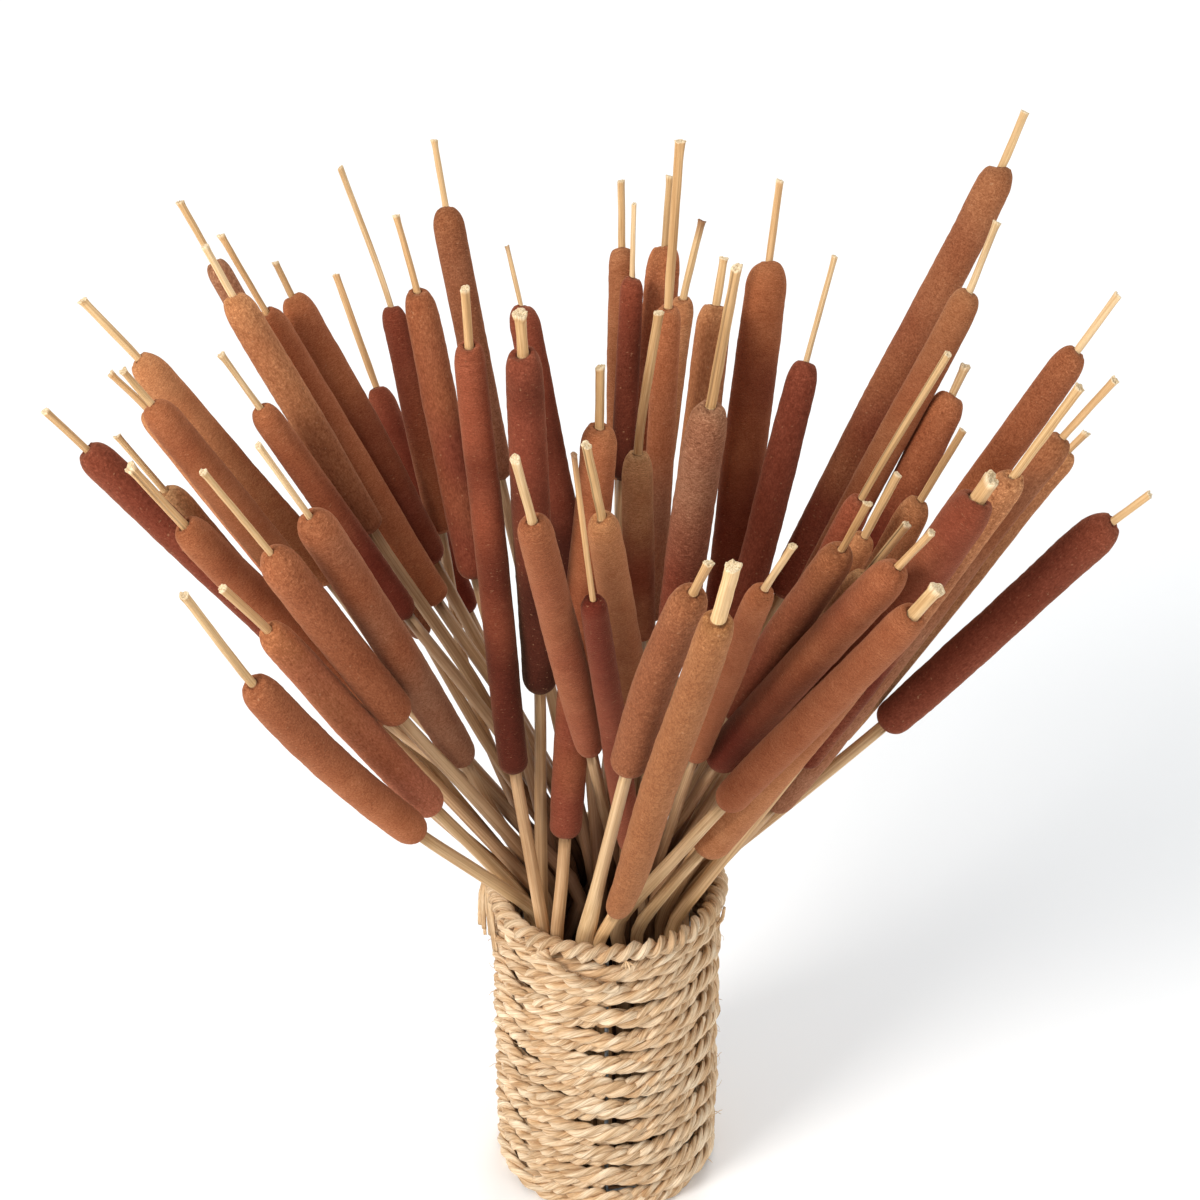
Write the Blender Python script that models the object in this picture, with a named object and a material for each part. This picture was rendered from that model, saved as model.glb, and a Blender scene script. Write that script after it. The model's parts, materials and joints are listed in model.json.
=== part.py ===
"""Cattail stems fanned out in a small vase of twined seagrass cord.

Metres, +Z up, the front faces -Y. The origin is the centre of the vase's underside.

Every cattail is one grown piece: stem, felted seed head and bare spike. The table of
cattails holds what was read by eye on the 1200-pixel photograph, as named points, and
real sizes in millimetres. A point of the photograph becomes a line of sight from the
eye, and each cattail is laid along its lines of sight. The bunch is then settled:
neighbours that touch push each other apart until every one has room, as stems do when
they are put in a vase.
"""

from math import cos, pi, radians, sin
from typing import NamedTuple

import bmesh
import bpy
import numpy as np
from mathutils import Vector

MM = 0.001
GAP = 0.3 * MM

# The vase, in metres
VASE_HEIGHT = 0.145
WALL_RADIUS = 0.0467
WALL_INNER_RADIUS = 0.0422
COURSES = 11
COURSE_DEPTH = 0.0012
ROPE_RING_RADIUS = 0.0460
ROPE_RADIUS = 0.0043
BASE_THICKNESS = 0.005
WIRE_RADIUS = 0.0008
WIRE_CIRCLE = 0.0402
WIRES = 6
FIRST_WIRE = pi / WIRES
ROUND_SIDES = 16
ROPE_SIDES = 6
WIRE_SIDES = 4

# The eye and its picture: the middle of the vase's rim is seen at RIM_PIXEL, at
# RIM_DISTANCE from the eye, and the line of sight to it looks down by RIM_LOOK_DOWN
PICTURE_SIZE = 1200.0
LENS_PIXELS = 3024.0
RIM_PIXEL = (606.5, 884.0)
RIM_DISTANCE = 1.26
RIM_LOOK_DOWN = radians(37.3)

# The cattails, in metres
STEM_RADIUS = 0.0031
THIN_STEM_RADIUS = 0.0027
THIN_GIRTH = 0.011
CATTAIL_SIDES = 6
WAIST_HEIGHT = 0.060
THROAT_HEIGHT = 0.108
MOUTH_HEIGHT = 0.143
MOUTH_LIMIT = WALL_INNER_RADIUS * cos(pi / ROUND_SIDES) - GAP
FOOT_LIMIT = WIRE_CIRCLE * cos(pi / ROUND_SIDES) - WIRE_RADIUS - 2 * GAP
WAIST_SHARE = 0.80
FOOT_SHARE = 0.86
FLARE = 1.35

# The rounded ends of a seed head, as shares of its radius: how far in from each end a
# ring lies, and its radius
BUTT_EDGE_RISE = 0.12
BUTT_EDGE = 0.62
NECK_EDGE_DROP = 0.14
NECK_EDGE = 0.66
SHARP_ANGLE = radians(50)

# How the bunch settles: the share of each pull or push that one round gives, and the
# room asked for beyond the gap
SETTLING_ROUNDS = 700
SETTLING_MARGIN = 0.15 * MM
TIDYING_ROUNDS = 500
TIDYING_MARGIN = 0.10 * MM
SETTLED_ENOUGH = 0.08 * MM
PLACE_PULL = 0.006
STEM_PULL = 0.02
SIGHT_PULL = 0.25
SHAPE_PULL = 0.20
LENGTH_PULL = 0.5
PUSH = 0.5

TINY = 1e-6
NEARLY_PARALLEL = 1e-14


class Cattail(NamedTuple):
    """One cattail as it is seen: points in pixels of the photograph, sizes in mm."""

    tip: tuple
    neck: tuple
    butt: tuple
    mouth: tuple
    girth: float
    spike: float
    reach: float
    bow: float = 0.0


# tip: the spike's cut end; neck: where it leaves the head; butt: the head's lower end;
# mouth: where the stem leaves the vase; girth and spike: thickness of each; reach: how
# far the neck stands behind the vase's axis, or in front of it where it is negative;
# bow: how far the head's middle swings to the left of its chord, seen from the butt
LEFT_CATTAILS = [
    Cattail((82, 300), (139, 359), (330, 583), (540, 846), 14.8, 3.4, 25),
    Cattail((110, 373), (148, 409), (304, 596), (535, 866), 13.0, 3.4, 58),
    Cattail((123, 371), (152, 405), (310, 600), (523, 862), 14.0, 3.4, -8),
    Cattail((117, 436), (165, 491), (290, 640), (527, 880), 13.0, 3.2, 8),
    Cattail((130, 467), (184, 525), (385, 722), (515, 858), 14.6, 4.4, -38),
    Cattail((45, 411), (87, 450), (296, 648), (517, 876), 14.0, 3.4, -18),
    Cattail((222, 588), (268, 630), (437, 811), (508, 893), 13.8, 3.8, -66),
    Cattail((184, 595), (253, 684), (423, 837), (512, 905), 14.6, 3.8, -92, 3.8),
    Cattail((203, 472), (271, 553), (402, 719), (520, 871), 15.2, 2.7, -72),
    Cattail((258, 445), (309, 517), (466, 767), (530, 865), 15.0, 3.0, -60),
    Cattail((221, 354), (260, 408), (408, 616), (560, 830), 11.6, 3.2, 18),
    Cattail((205, 246), (233, 296), (372, 530), (550, 832), 13.6, 3.3, 46),
    Cattail((180, 202), (214, 262), (425, 636), (545, 849), 9.8, 3.0, 84),
    Cattail((221, 235), (266, 312), (435, 603), (570, 835), 13.4, 3.1, 68),
    Cattail((275, 262), (292, 296), (433, 564), (575, 836), 13.8, 3.1, 84, -1.4),
    Cattail((336, 275), (377, 388), (468, 614), (566, 832), 12.0, 3.1, 126),
    Cattail((340, 167), (391, 307), (443, 534), (535, 850), 10.6, 2.8, 98),
    Cattail((396, 215), (417, 291), (476, 578), (545, 862), 13.8, 3.4, 74),
    Cattail((434, 140), (446, 208), (500, 480), (572, 850), 11.8, 3.2, 136),
    Cattail((465, 288), (469, 345), (515, 771), (530, 928), 12.0, 3.9, -30),
    Cattail((520, 313), (523, 353), (540, 692), (541, 896), 14.2, 4.9, -36),
    Cattail((507, 246), (521, 306), (579, 600), (598, 866), 12.4, 2.0, 72),
    Cattail((515, 459), (532, 521), (590, 752), (632, 858), 13.2, 4.1, -92),
]
CENTRE_CATTAILS = [
    Cattail((574, 455), (593, 600), (632, 850), (640, 885), 10.6, 2.6, -78),
    Cattail((586, 445), (602, 518), (648, 760), (662, 850), 12.6, 3.8, -58),
    Cattail((600, 367), (600, 428), (568, 838), (557, 930), 13.6, 3.9, -30),
    Cattail((709, 563), (693, 593), (627, 773), (590, 932), 14.8, 4.0, -116, 3.4),
    Cattail((733, 566), (718, 620), (614, 915), (602, 940), 13.4, 5.4, -142),
    Cattail((793, 546), (764, 590), (693, 760), (650, 872), 10.8, 3.4, -80),
]
MIDDLE_CATTAILS = [
    Cattail((621, 181), (622, 249), (620, 480), (617, 830), 11.4, 3.6, 128),
    Cattail((634, 204), (632, 278), (622, 480), (606, 846), 9.4, 2.4, 98),
    Cattail((670, 176), (665, 246), (640, 500), (600, 830), 13.8, 3.4, 118),
    Cattail((680, 141), (668, 308), (650, 620), (636, 850), 11.2, 3.6, 42),
    Cattail((702, 221), (683, 299), (641, 590), (620, 858), 10.6, 3.4, 66),
    Cattail((724, 258), (716, 306), (689, 520), (648, 838), 14.2, 3.8, 88),
    Cattail((737, 267), (711, 406), (672, 640), (630, 876), 15.4, 4.4, -12),
    Cattail((780, 180), (769, 262), (724, 610), (678, 848), 17.2, 3.4, 106),
    Cattail((835, 256), (806, 362), (741, 619), (680, 862), 13.4, 2.8, 66),
    Cattail((659, 312), (638, 454), (640, 640), (618, 884), 12.0, 4.0, 2),
]
RIGHT_CATTAILS = [
    Cattail((1025, 112), (1001, 168), (780, 596), (645, 846), 14.8, 3.6, 102),
    Cattail((997, 222), (969, 292), (800, 610), (668, 860), 12.4, 3.6, 50),
    Cattail((948, 354), (861, 499), (770, 680), (668, 878), 11.6, 3.2, -8),
    Cattail((966, 366), (952, 395), (850, 600), (690, 868), 14.4, 3.8, 44),
    Cattail((963, 430), (920, 501), (820, 680), (682, 884), 13.0, 3.4, 10),
    Cattail((868, 503), (842, 550), (732, 722), (645, 862), 14.2, 3.2, -56),
    Cattail((898, 474), (864, 537), (760, 720), (660, 890), 11.4, 3.4, -34),
    Cattail((907, 524), (866, 576), (770, 720), (672, 896), 13.0, 4.2, -44),
    Cattail((932, 532), (899, 567), (716, 767), (625, 872), 15.4, 3.6, -74),
    Cattail((938, 588), (914, 614), (722, 807), (628, 908), 13.6, 5.0, -98),
    Cattail((992, 478), (977, 498), (698, 850), (648, 912), 17.4, 6.0, -64),
    Cattail((1080, 387), (1014, 476), (800, 763), (688, 905), 13.2, 3.7, -38),
    Cattail((1115, 380), (1062, 438), (772, 807), (690, 892), 13.2, 3.4, -18),
    Cattail((1086, 433), (1068, 451), (834, 735), (700, 882), 12.4, 3.3, 8),
    Cattail((1118, 295), (1077, 351), (940, 540), (697, 862), 13.4, 3.4, 36),
    Cattail((1150, 494), (1112, 522), (882, 727), (698, 880), 15.0, 3.6, -24),
]
CATTAILS = LEFT_CATTAILS + CENTRE_CATTAILS + MIDDLE_CATTAILS + RIGHT_CATTAILS

# The points of a cattail's centre line, from its foot on the vase's floor to its tip
FOOT, WAIST, THROAT, MOUTH, SHANK, BUTT, MIDDLE, NECK, TIP = range(9)


def clear_scene():
    for thing in list(bpy.data.objects):
        bpy.data.objects.remove(thing, do_unlink=True)


def make_material(name, colour, roughness):
    material = bpy.data.materials.new(name)
    material.use_nodes = True
    shader = material.node_tree.nodes["Principled BSDF"]
    shader.inputs["Base Color"].default_value = (*colour, 1.0)
    shader.inputs["Roughness"].default_value = roughness
    shader.inputs["Metallic"].default_value = 0.0
    material.diffuse_color = (*colour, 1.0)
    return material


def add_object(name, mesh, material):
    thing = bpy.data.objects.new(name, mesh)
    thing.data.materials.append(material)
    bpy.context.scene.collection.objects.link(thing)
    return thing


def wall_top():
    """The wall ends a gap below the rope's flat underside."""
    return VASE_HEIGHT - ROPE_RADIUS * (1 + cos(pi / ROPE_SIDES)) - GAP


# Lines of sight

def eye_and_axes():
    """The eye's place, and the picture's right, up and forward directions."""
    drop = (RIM_PIXEL[1] - PICTURE_SIZE / 2) / LENS_PIXELS
    look_down = RIM_LOOK_DOWN - np.arctan(drop)
    right = np.array([1.0, 0.0, 0.0])
    up = np.array([0.0, sin(look_down), cos(look_down)])
    forward = np.array([0.0, cos(look_down), -sin(look_down)])
    rim = np.array([0.0, 0.0, VASE_HEIGHT - ROPE_RADIUS])
    to_rim = forward + right * (RIM_PIXEL[0] - PICTURE_SIZE / 2) / LENS_PIXELS - up * drop
    eye = rim - RIM_DISTANCE * to_rim / np.linalg.norm(to_rim)
    return eye, right, up, forward


EYE, RIGHT, UP, FORWARD = eye_and_axes()


def sight_line(pixel):
    """The direction in which a point of the photograph is seen from the eye."""
    across = (pixel[0] - PICTURE_SIZE / 2) / LENS_PIXELS
    raised = (PICTURE_SIZE / 2 - pixel[1]) / LENS_PIXELS
    direction = FORWARD + RIGHT * across + UP * raised
    return direction / np.linalg.norm(direction)


def seen_at_height(pixel, height):
    direction = sight_line(pixel)
    return EYE + direction * (height - EYE[2]) / direction[2]


def seen_at_reach(pixel, reach):
    direction = sight_line(pixel)
    return EYE + direction * (reach - EYE[1]) / direction[1]


def seen_beside(pixel, start, along):
    """The point of a line of sight that comes nearest to a line in space."""
    direction = sight_line(pixel)
    unit = along / np.linalg.norm(along)
    offset = start - EYE
    mix = direction @ unit
    distance = (offset @ direction - (offset @ unit) * mix) / (1.0 - mix * mix)
    return EYE + direction * distance


# The first lay of each cattail

def inside_mouth(point, radius):
    """A point of the mouth, drawn in until its stem clears the wires."""
    room = MOUTH_LIMIT - radius
    away = np.hypot(point[0], point[1])
    return point[:2] * min(1.0, room / max(away, room))


def first_lay(cattail, stem_radius):
    """The nine points of a centre line, straight from the mouth to the neck."""
    neck = seen_at_reach(cattail.neck, cattail.reach * MM)
    mouth = seen_at_height(cattail.mouth, MOUTH_HEIGHT)
    mouth[:2] = inside_mouth(mouth, stem_radius)
    butt = seen_beside(cattail.butt, mouth, neck - mouth)
    tip = seen_beside(cattail.tip, butt, neck - butt)
    along = (neck - butt) / np.linalg.norm(neck - butt)
    sideways = np.cross(FORWARD, along)
    middle = (butt + neck) / 2 - sideways * cattail.bow * MM
    floor = BASE_THICKNESS + GAP
    return np.array([
        [*(mouth[:2] * FOOT_SHARE), floor],
        [*(mouth[:2] * WAIST_SHARE), WAIST_HEIGHT],
        [*(mouth[:2] * (1 + WAIST_SHARE) / 2), THROAT_HEIGHT],
        mouth,
        (mouth + butt) / 2,
        butt,
        middle,
        neck,
        tip,
    ])


def on_circle(radius, parts, height, first=0.0):
    turns = first + np.arange(parts) * 2 * pi / parts
    return np.stack([radius * np.cos(turns), radius * np.sin(turns),
                     np.full(parts, height)], axis=1)


def fixed_rods():
    """The rope's ring and the wires, as rods that nothing may enter."""
    ring = on_circle(ROPE_RING_RADIUS, ROUND_SIDES, VASE_HEIGHT - ROPE_RADIUS)
    feet = on_circle(WIRE_CIRCLE, WIRES, 0.0, FIRST_WIRE)
    tops = on_circle(WIRE_CIRCLE, WIRES, wall_top(), FIRST_WIRE)
    starts = np.vstack([ring, feet])
    ends = np.vstack([np.roll(ring, -1, axis=0), tops])
    radii = [ROPE_RADIUS] * ROUND_SIDES + [WIRE_RADIUS] * WIRES
    return starts, ends, np.array(radii)


class Bunch:
    """All the centre lines, with what keeps each in its place while they settle."""

    def __init__(self, cattails):
        self.cattails = cattails
        count = len(cattails)
        girths = np.array([c.girth for c in cattails]) * MM
        self.stem = np.where(girths < THIN_GIRTH, THIN_STEM_RADIUS, STEM_RADIUS)
        self.head = girths / 2
        self.spike = np.array([c.spike for c in cattails]) * MM / 2
        self.points = np.array([
            first_lay(c, radius) for c, radius in zip(cattails, self.stem)])
        self.first = self.points.copy()
        self.lengths = np.linalg.norm(np.diff(self.points, axis=1), axis=2)
        self.sights = np.array([
            [sight_line(p) for p in (c.butt, c.neck, c.tip)] for c in cattails])
        self.rod_starts, self.rod_ends, self.rod_radii = fixed_rods()
        self.list_pairs(count)

    def list_pairs(self, count):
        """Every two pieces of centre line that belong to different cattails."""
        self.owner = np.repeat(np.arange(count), TIP)
        self.piece = np.tile(np.arange(TIP), count)
        one, two = np.triu_indices(count * TIP, 1)
        apart = self.owner[one] != self.owner[two]
        self.one = one[apart]
        self.two = two[apart]

    def pieces(self):
        """Start, end and radius of each piece, and the shares it starts and ends at."""
        starts = self.points[:, :-1].reshape(-1, 3)
        ends = self.points[:, 1:].reshape(-1, 3)
        radii = np.repeat(self.stem[:, None], TIP, axis=1)
        radii[:, BUTT] = self.head
        radii[:, MIDDLE] = self.head
        radii[:, NECK] = self.spike * FLARE
        span = np.linalg.norm(self.points[:, 1:] - self.points[:, :-1], axis=2)
        low = np.zeros_like(radii)
        high = np.ones_like(radii)
        low[:, BUTT] = self.head / span[:, BUTT]
        high[:, MIDDLE] = 1 - self.head / span[:, MIDDLE]
        low = low.reshape(-1, 1)
        high = high.reshape(-1, 1)
        along = ends - starts
        return starts + along * low, starts + along * high, radii.reshape(-1), low, high

    def push_apart(self, strength, margin):
        """Move every two pieces that come too near away from each other."""
        starts, ends, radii, low, high = self.pieces()
        moves = np.zeros_like(self.points).reshape(-1, 3)
        hits = np.zeros(len(moves))
        near = self.near_pairs(starts, ends, radii, margin)
        one, two = self.one[near], self.two[near]
        s, t, away = closest(starts[one], ends[one], starts[two], ends[two])
        distance = np.linalg.norm(away, axis=1)
        short = radii[one] + radii[two] + GAP + margin - distance
        touch = short > 0
        one, two, s, t = one[touch], two[touch], s[touch], t[touch]
        short, away, distance = short[touch], away[touch], distance[touch]
        push = away / np.maximum(distance, TINY)[:, None] * short[:, None] / 2
        self.share(moves, hits, one, low[one, 0] + s * (high - low)[one, 0], push)
        self.share(moves, hits, two, low[two, 0] + t * (high - low)[two, 0], -push)
        self.push_from_rods(moves, hits, starts, ends, radii, low, high, margin)
        crowd = np.sqrt(np.maximum(hits, 1.0))
        moves = moves / crowd[:, None] * strength
        self.points += moves.reshape(self.points.shape)
        return short.max() if len(short) else 0.0

    def near_pairs(self, starts, ends, radii, margin):
        """A quick sieve by bounding boxes."""
        low = np.minimum(starts, ends) - (radii + margin)[:, None]
        high = np.maximum(starts, ends) + (radii + margin + GAP)[:, None]
        meet = (low[self.one] < high[self.two]) & (low[self.two] < high[self.one])
        return np.nonzero(meet.all(axis=1))[0]

    def push_from_rods(self, moves, hits, starts, ends, radii, low, high, margin):
        count, rods = len(starts), len(self.rod_starts)
        piece = np.repeat(np.arange(count), rods)
        rod = np.tile(np.arange(rods), count)
        s, _, away = closest(
            starts[piece], ends[piece], self.rod_starts[rod], self.rod_ends[rod])
        distance = np.linalg.norm(away, axis=1)
        short = radii[piece] + self.rod_radii[rod] + GAP + margin - distance
        touch = short > 0
        piece, s, short, away = piece[touch], s[touch], short[touch], away[touch]
        push = away / np.maximum(distance[touch], TINY)[:, None] * short[:, None]
        self.share(moves, hits, piece, low[piece, 0] + s * (high - low)[piece, 0], push)

    def share(self, moves, hits, piece, where, push):
        """Add a push on a piece to the points at its two ends."""
        start = self.owner[piece] * (TIP + 1) + self.piece[piece]
        for index, weight in ((start, 1 - where), (start + 1, where)):
            np.add.at(moves, index, push * weight[:, None])
            np.add.at(hits, index, weight)

    def keep_in_sight(self, strength):
        """Draw the butts, necks and tips back to their lines of sight."""
        seen = self.points[:, [BUTT, NECK, TIP]]
        offset = seen - EYE
        depth = (offset * self.sights).sum(axis=2, keepdims=True)
        self.points[:, [BUTT, NECK, TIP]] += strength * (depth * self.sights - offset)

    def keep_shape(self, strength):
        """Draw every inner point back to the bend that it had at first."""
        for index in range(THROAT, TIP):
            before, here, after = (self.first[:, index + k] for k in (-1, 0, 1))
            near = self.lengths[:, index - 1]
            far = self.lengths[:, index]
            share = (near / (near + far))[:, None]
            bend = here - before * (1 - share) - after * share
            now = self.points[:, index] - self.points[:, index - 1] * (1 - share)
            now = now - self.points[:, index + 1] * share
            fix = strength * (bend - now)
            self.points[:, index] += fix / 2
            self.points[:, index - 1] -= fix * (1 - share) / 2
            self.points[:, index + 1] -= fix * share / 2

    def keep_lengths(self, strength):
        for index in range(SHANK, TIP):
            along = self.points[:, index + 1] - self.points[:, index]
            length = np.linalg.norm(along, axis=1)
            extra = (length - self.lengths[:, index]) / length * strength / 2
            self.points[:, index] += along * extra[:, None]
            self.points[:, index + 1] -= along * extra[:, None]

    def keep_in_place(self, strength):
        """A light pull to the first lay, so that the order front to back is kept."""
        self.points += strength * (self.first - self.points)

    def keep_stems_in_place(self, strength):
        """The same for the stems, whose lines of sight cross near the mouth."""
        low, high = THROAT, BUTT
        self.points[:, low:high] += strength * (self.first - self.points)[:, low:high]

    def keep_in_vase(self):
        """Hold the feet on the floor inside the wire ring, and the stems in the wall."""
        levels = (
            (FOOT, BASE_THICKNESS + GAP, FOOT_LIMIT),
            (WAIST, WAIST_HEIGHT, MOUTH_LIMIT),
            (THROAT, THROAT_HEIGHT, MOUTH_LIMIT),
            (MOUTH, MOUTH_HEIGHT, MOUTH_LIMIT),
        )
        for index, level, limit in levels:
            flat = self.points[:, index, :2]
            away = np.hypot(flat[:, 0], flat[:, 1])
            room = limit - self.stem
            flat *= np.minimum(1.0, room / np.maximum(away, TINY))[:, None]
            self.points[:, index, 2] = level

    def settle(self):
        for turn in range(SETTLING_ROUNDS):
            ease = 1.0 - turn / SETTLING_ROUNDS
            self.keep_in_place(PLACE_PULL * ease)
            self.keep_stems_in_place(STEM_PULL * ease)
            self.keep_in_sight(SIGHT_PULL)
            self.keep_shape(SHAPE_PULL)
            self.keep_lengths(LENGTH_PULL)
            self.push_apart(PUSH, SETTLING_MARGIN)
            self.keep_in_vase()
        for _ in range(TIDYING_ROUNDS):
            worst = self.push_apart(PUSH, TIDYING_MARGIN)
            self.keep_in_vase()
            if worst < SETTLED_ENOUGH:
                break
        return worst


def closest(a0, a1, b0, b1):
    """Shares along two sets of rods where they come nearest, and the way between."""
    u, v, w = a1 - a0, b1 - b0, a0 - b0
    uu, uv, vv = (u * u).sum(1), (u * v).sum(1), (v * v).sum(1)
    uw, vw = (u * w).sum(1), (v * w).sum(1)
    cross = uu * vv - uv * uv
    level = np.maximum(cross, NEARLY_PARALLEL)
    s = np.where(cross > NEARLY_PARALLEL, (uv * vw - vv * uw) / level, 0.5)
    s = np.clip(s, 0.0, 1.0)
    t = np.clip((uv * s + vw) / vv, 0.0, 1.0)
    s = np.clip((uv * t - uw) / uu, 0.0, 1.0)
    away = (a0 + u * s[:, None]) - (b0 + v * t[:, None])
    return s, t, away


# Solids

def ring_frame(line):
    """For each point of a centre line, two directions that span its ring.

    The foot is cut level, so its ring lies flat.
    """
    steps = np.diff(line, axis=0)
    steps /= np.linalg.norm(steps, axis=1)[:, None]
    tangents = np.vstack([[0.0, 0.0, 1.0], steps[:-1] + steps[1:], steps[-1:]])
    tangents /= np.linalg.norm(tangents, axis=1)[:, None]
    side = np.cross(tangents[0], [0.0, 1.0, 0.0])
    frames = []
    for tangent in tangents:
        side = side - tangent * (side @ tangent)
        side = side / np.linalg.norm(side)
        frames.append((side, np.cross(tangent, side)))
    return frames


def cattail_rings(line, stem, head, spike):
    """Centres and radii of the rings, from the foot to the spike's cut end."""
    butt, middle, neck, tip = line[BUTT], line[MIDDLE], line[NECK], line[TIP]
    rise = (middle - butt) / np.linalg.norm(middle - butt)
    fall = (neck - middle) / np.linalg.norm(neck - middle)
    rings = [(line[index], stem) for index in range(FOOT, BUTT)]
    rings += [
        (butt, stem),
        (butt + rise * head * BUTT_EDGE_RISE, head * BUTT_EDGE),
        (butt + rise * head, head),
        (middle, head),
        (neck - fall * head, head),
        (neck - fall * head * NECK_EDGE_DROP, head * NECK_EDGE),
        (neck, spike),
        (tip, spike * FLARE),
    ]
    return rings


def loft(rings, sides):
    """A closed solid through rings of vertices, with a flat cap at each end."""
    centres = np.array([centre for centre, _ in rings])
    shape = bmesh.new()
    loops = []
    for (centre, radius), (side, other) in zip(rings, ring_frame(centres)):
        turns = [2 * pi * k / sides for k in range(sides)]
        loops.append([
            shape.verts.new(Vector(centre + radius * (side * cos(a) + other * sin(a))))
            for a in turns])
    for low, high in zip(loops, loops[1:]):
        for k in range(sides):
            after = (k + 1) % sides
            shape.faces.new((low[k], low[after], high[after], high[k]))
    shape.faces.new(list(reversed(loops[0])))
    shape.faces.new(loops[-1])
    bmesh.ops.triangulate(shape, faces=shape.faces)
    bmesh.ops.recalc_face_normals(shape, faces=shape.faces)
    return shape


def to_mesh(shape, name):
    mesh = bpy.data.meshes.new(name)
    shape.to_mesh(mesh)
    shape.free()
    for polygon in mesh.polygons:
        polygon.use_smooth = True
    mesh.set_sharp_from_angle(angle=SHARP_ANGLE)
    return mesh


def make_cattails(material):
    bunch = Bunch(CATTAILS)
    worst = bunch.settle()
    print("settled, largest overlap in mm:", round(worst / MM, 3))
    for number, line in enumerate(bunch.points):
        rings = cattail_rings(
            line, bunch.stem[number], bunch.head[number], bunch.spike[number])
        name = f"cattail_{number + 1:02d}"
        add_object(name, to_mesh(loft(rings, CATTAIL_SIDES), name), material)


def turned(outline, name, sides):
    """A solid turned about Z from a closed outline of (radius, height) points."""
    shape = bmesh.new()
    verts = [shape.verts.new((radius, 0.0, height)) for radius, height in outline]
    edges = [
        shape.edges.new((verts[k], verts[(k + 1) % len(verts)]))
        for k in range(len(verts))]
    bmesh.ops.spin(
        shape, geom=verts + edges, cent=(0, 0, 0), axis=(0, 0, 1), angle=2 * pi,
        steps=sides, use_merge=True, use_duplicate=False)
    bmesh.ops.remove_doubles(shape, verts=shape.verts, dist=TINY)
    bmesh.ops.recalc_face_normals(shape, faces=shape.faces)
    return to_mesh(shape, name)


def make_wall(material):
    """The twined wall: one rounded ridge for each course of cord."""
    pitch = wall_top() / COURSES
    outline = [(WALL_INNER_RADIUS, wall_top()), (WALL_INNER_RADIUS, 0.0)]
    outline.append((WALL_RADIUS - COURSE_DEPTH, 0.0))
    for course in range(COURSES):
        outline.append((WALL_RADIUS, (course + 0.5) * pitch))
        outline.append((WALL_RADIUS - COURSE_DEPTH, (course + 1) * pitch))
    add_object("vase_wall", turned(outline, "vase_wall", ROUND_SIDES), material)


def make_rim(material):
    turns = [2 * pi * (k + 0.5) / ROPE_SIDES + pi / ROPE_SIDES for k in range(ROPE_SIDES)]
    height = VASE_HEIGHT - ROPE_RADIUS
    outline = [
        (ROPE_RING_RADIUS + ROPE_RADIUS * cos(a), height + ROPE_RADIUS * sin(a))
        for a in turns]
    add_object("rim_rope", turned(outline, "rim_rope", ROUND_SIDES), material)


def make_base(material):
    """The woven bottom, a plain disc inside the wall."""
    radius = WALL_INNER_RADIUS * cos(pi / ROUND_SIDES) - GAP
    shape = bmesh.new()
    bmesh.ops.create_cone(
        shape, cap_ends=True, segments=ROUND_SIDES, radius1=radius, radius2=radius,
        depth=BASE_THICKNESS)
    bmesh.ops.translate(shape, verts=shape.verts, vec=(0, 0, BASE_THICKNESS / 2))
    add_object("vase_base", to_mesh(shape, "vase_base"), material)


def make_wires(material):
    """Six uprights on a ring: the frame that the cords are twined round."""
    ring_height = BASE_THICKNESS + GAP + 2 * WIRE_RADIUS
    outline = [
        (WIRE_CIRCLE + WIRE_RADIUS * cos(pi * (2 * k + 1) / WIRE_SIDES),
         ring_height + WIRE_RADIUS * sin(pi * (2 * k + 1) / WIRE_SIDES))
        for k in range(WIRE_SIDES)]
    frame = add_object("wire_frame", turned(outline, "wire_frame", ROUND_SIDES), material)
    top = wall_top()
    middles = on_circle(WIRE_CIRCLE, WIRES, (top + ring_height) / 2, FIRST_WIRE)
    for number, place in enumerate(middles):
        shape = bmesh.new()
        bmesh.ops.create_cone(
            shape, cap_ends=True, segments=WIRE_SIDES, radius1=WIRE_RADIUS,
            radius2=WIRE_RADIUS, depth=top - ring_height)
        bmesh.ops.translate(shape, verts=shape.verts, vec=place)
        upright = add_object(f"upright_{number}", to_mesh(shape, "upright"), material)
        upright.hide_render = True
        upright.display_type = "WIRE"
        union = frame.modifiers.new(f"upright_{number}", "BOOLEAN")
        union.operation = "UNION"
        union.object = upright


def main():
    clear_scene()
    straw_and_felt = make_material("cattail", (0.36, 0.13, 0.06), 0.95)
    seagrass = make_material("seagrass_cord", (0.60, 0.42, 0.24), 0.85)
    rim_cord = make_material("rim_cord", (0.64, 0.46, 0.27), 0.85)
    base_cord = make_material("base_cord", (0.50, 0.35, 0.20), 0.88)
    wire = make_material("wire", (0.35, 0.38, 0.42), 0.45)
    make_wall(seagrass)
    make_rim(rim_cord)
    make_base(base_cord)
    make_wires(wire)
    make_cattails(straw_and_felt)


main()
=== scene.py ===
# %% [markdown]
# # Cattail stems in a twined vase
#
# Fifty-five dried cattails fan out of a small round vase that is twined from seagrass
# cord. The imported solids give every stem's place and thickness. Here each of them is
# dressed: the felted seed heads, the straw stems and spikes with their crumpled cut
# ends, the twisted cords of the vase and the wires that they are twined round.

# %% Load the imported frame
import json
from math import atan, cos, pi, radians, sin

import bpy
import numpy as np
from mathutils import Euler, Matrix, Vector
from mathutils.geometry import interpolate_bezier
from numpy.random import default_rng

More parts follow.
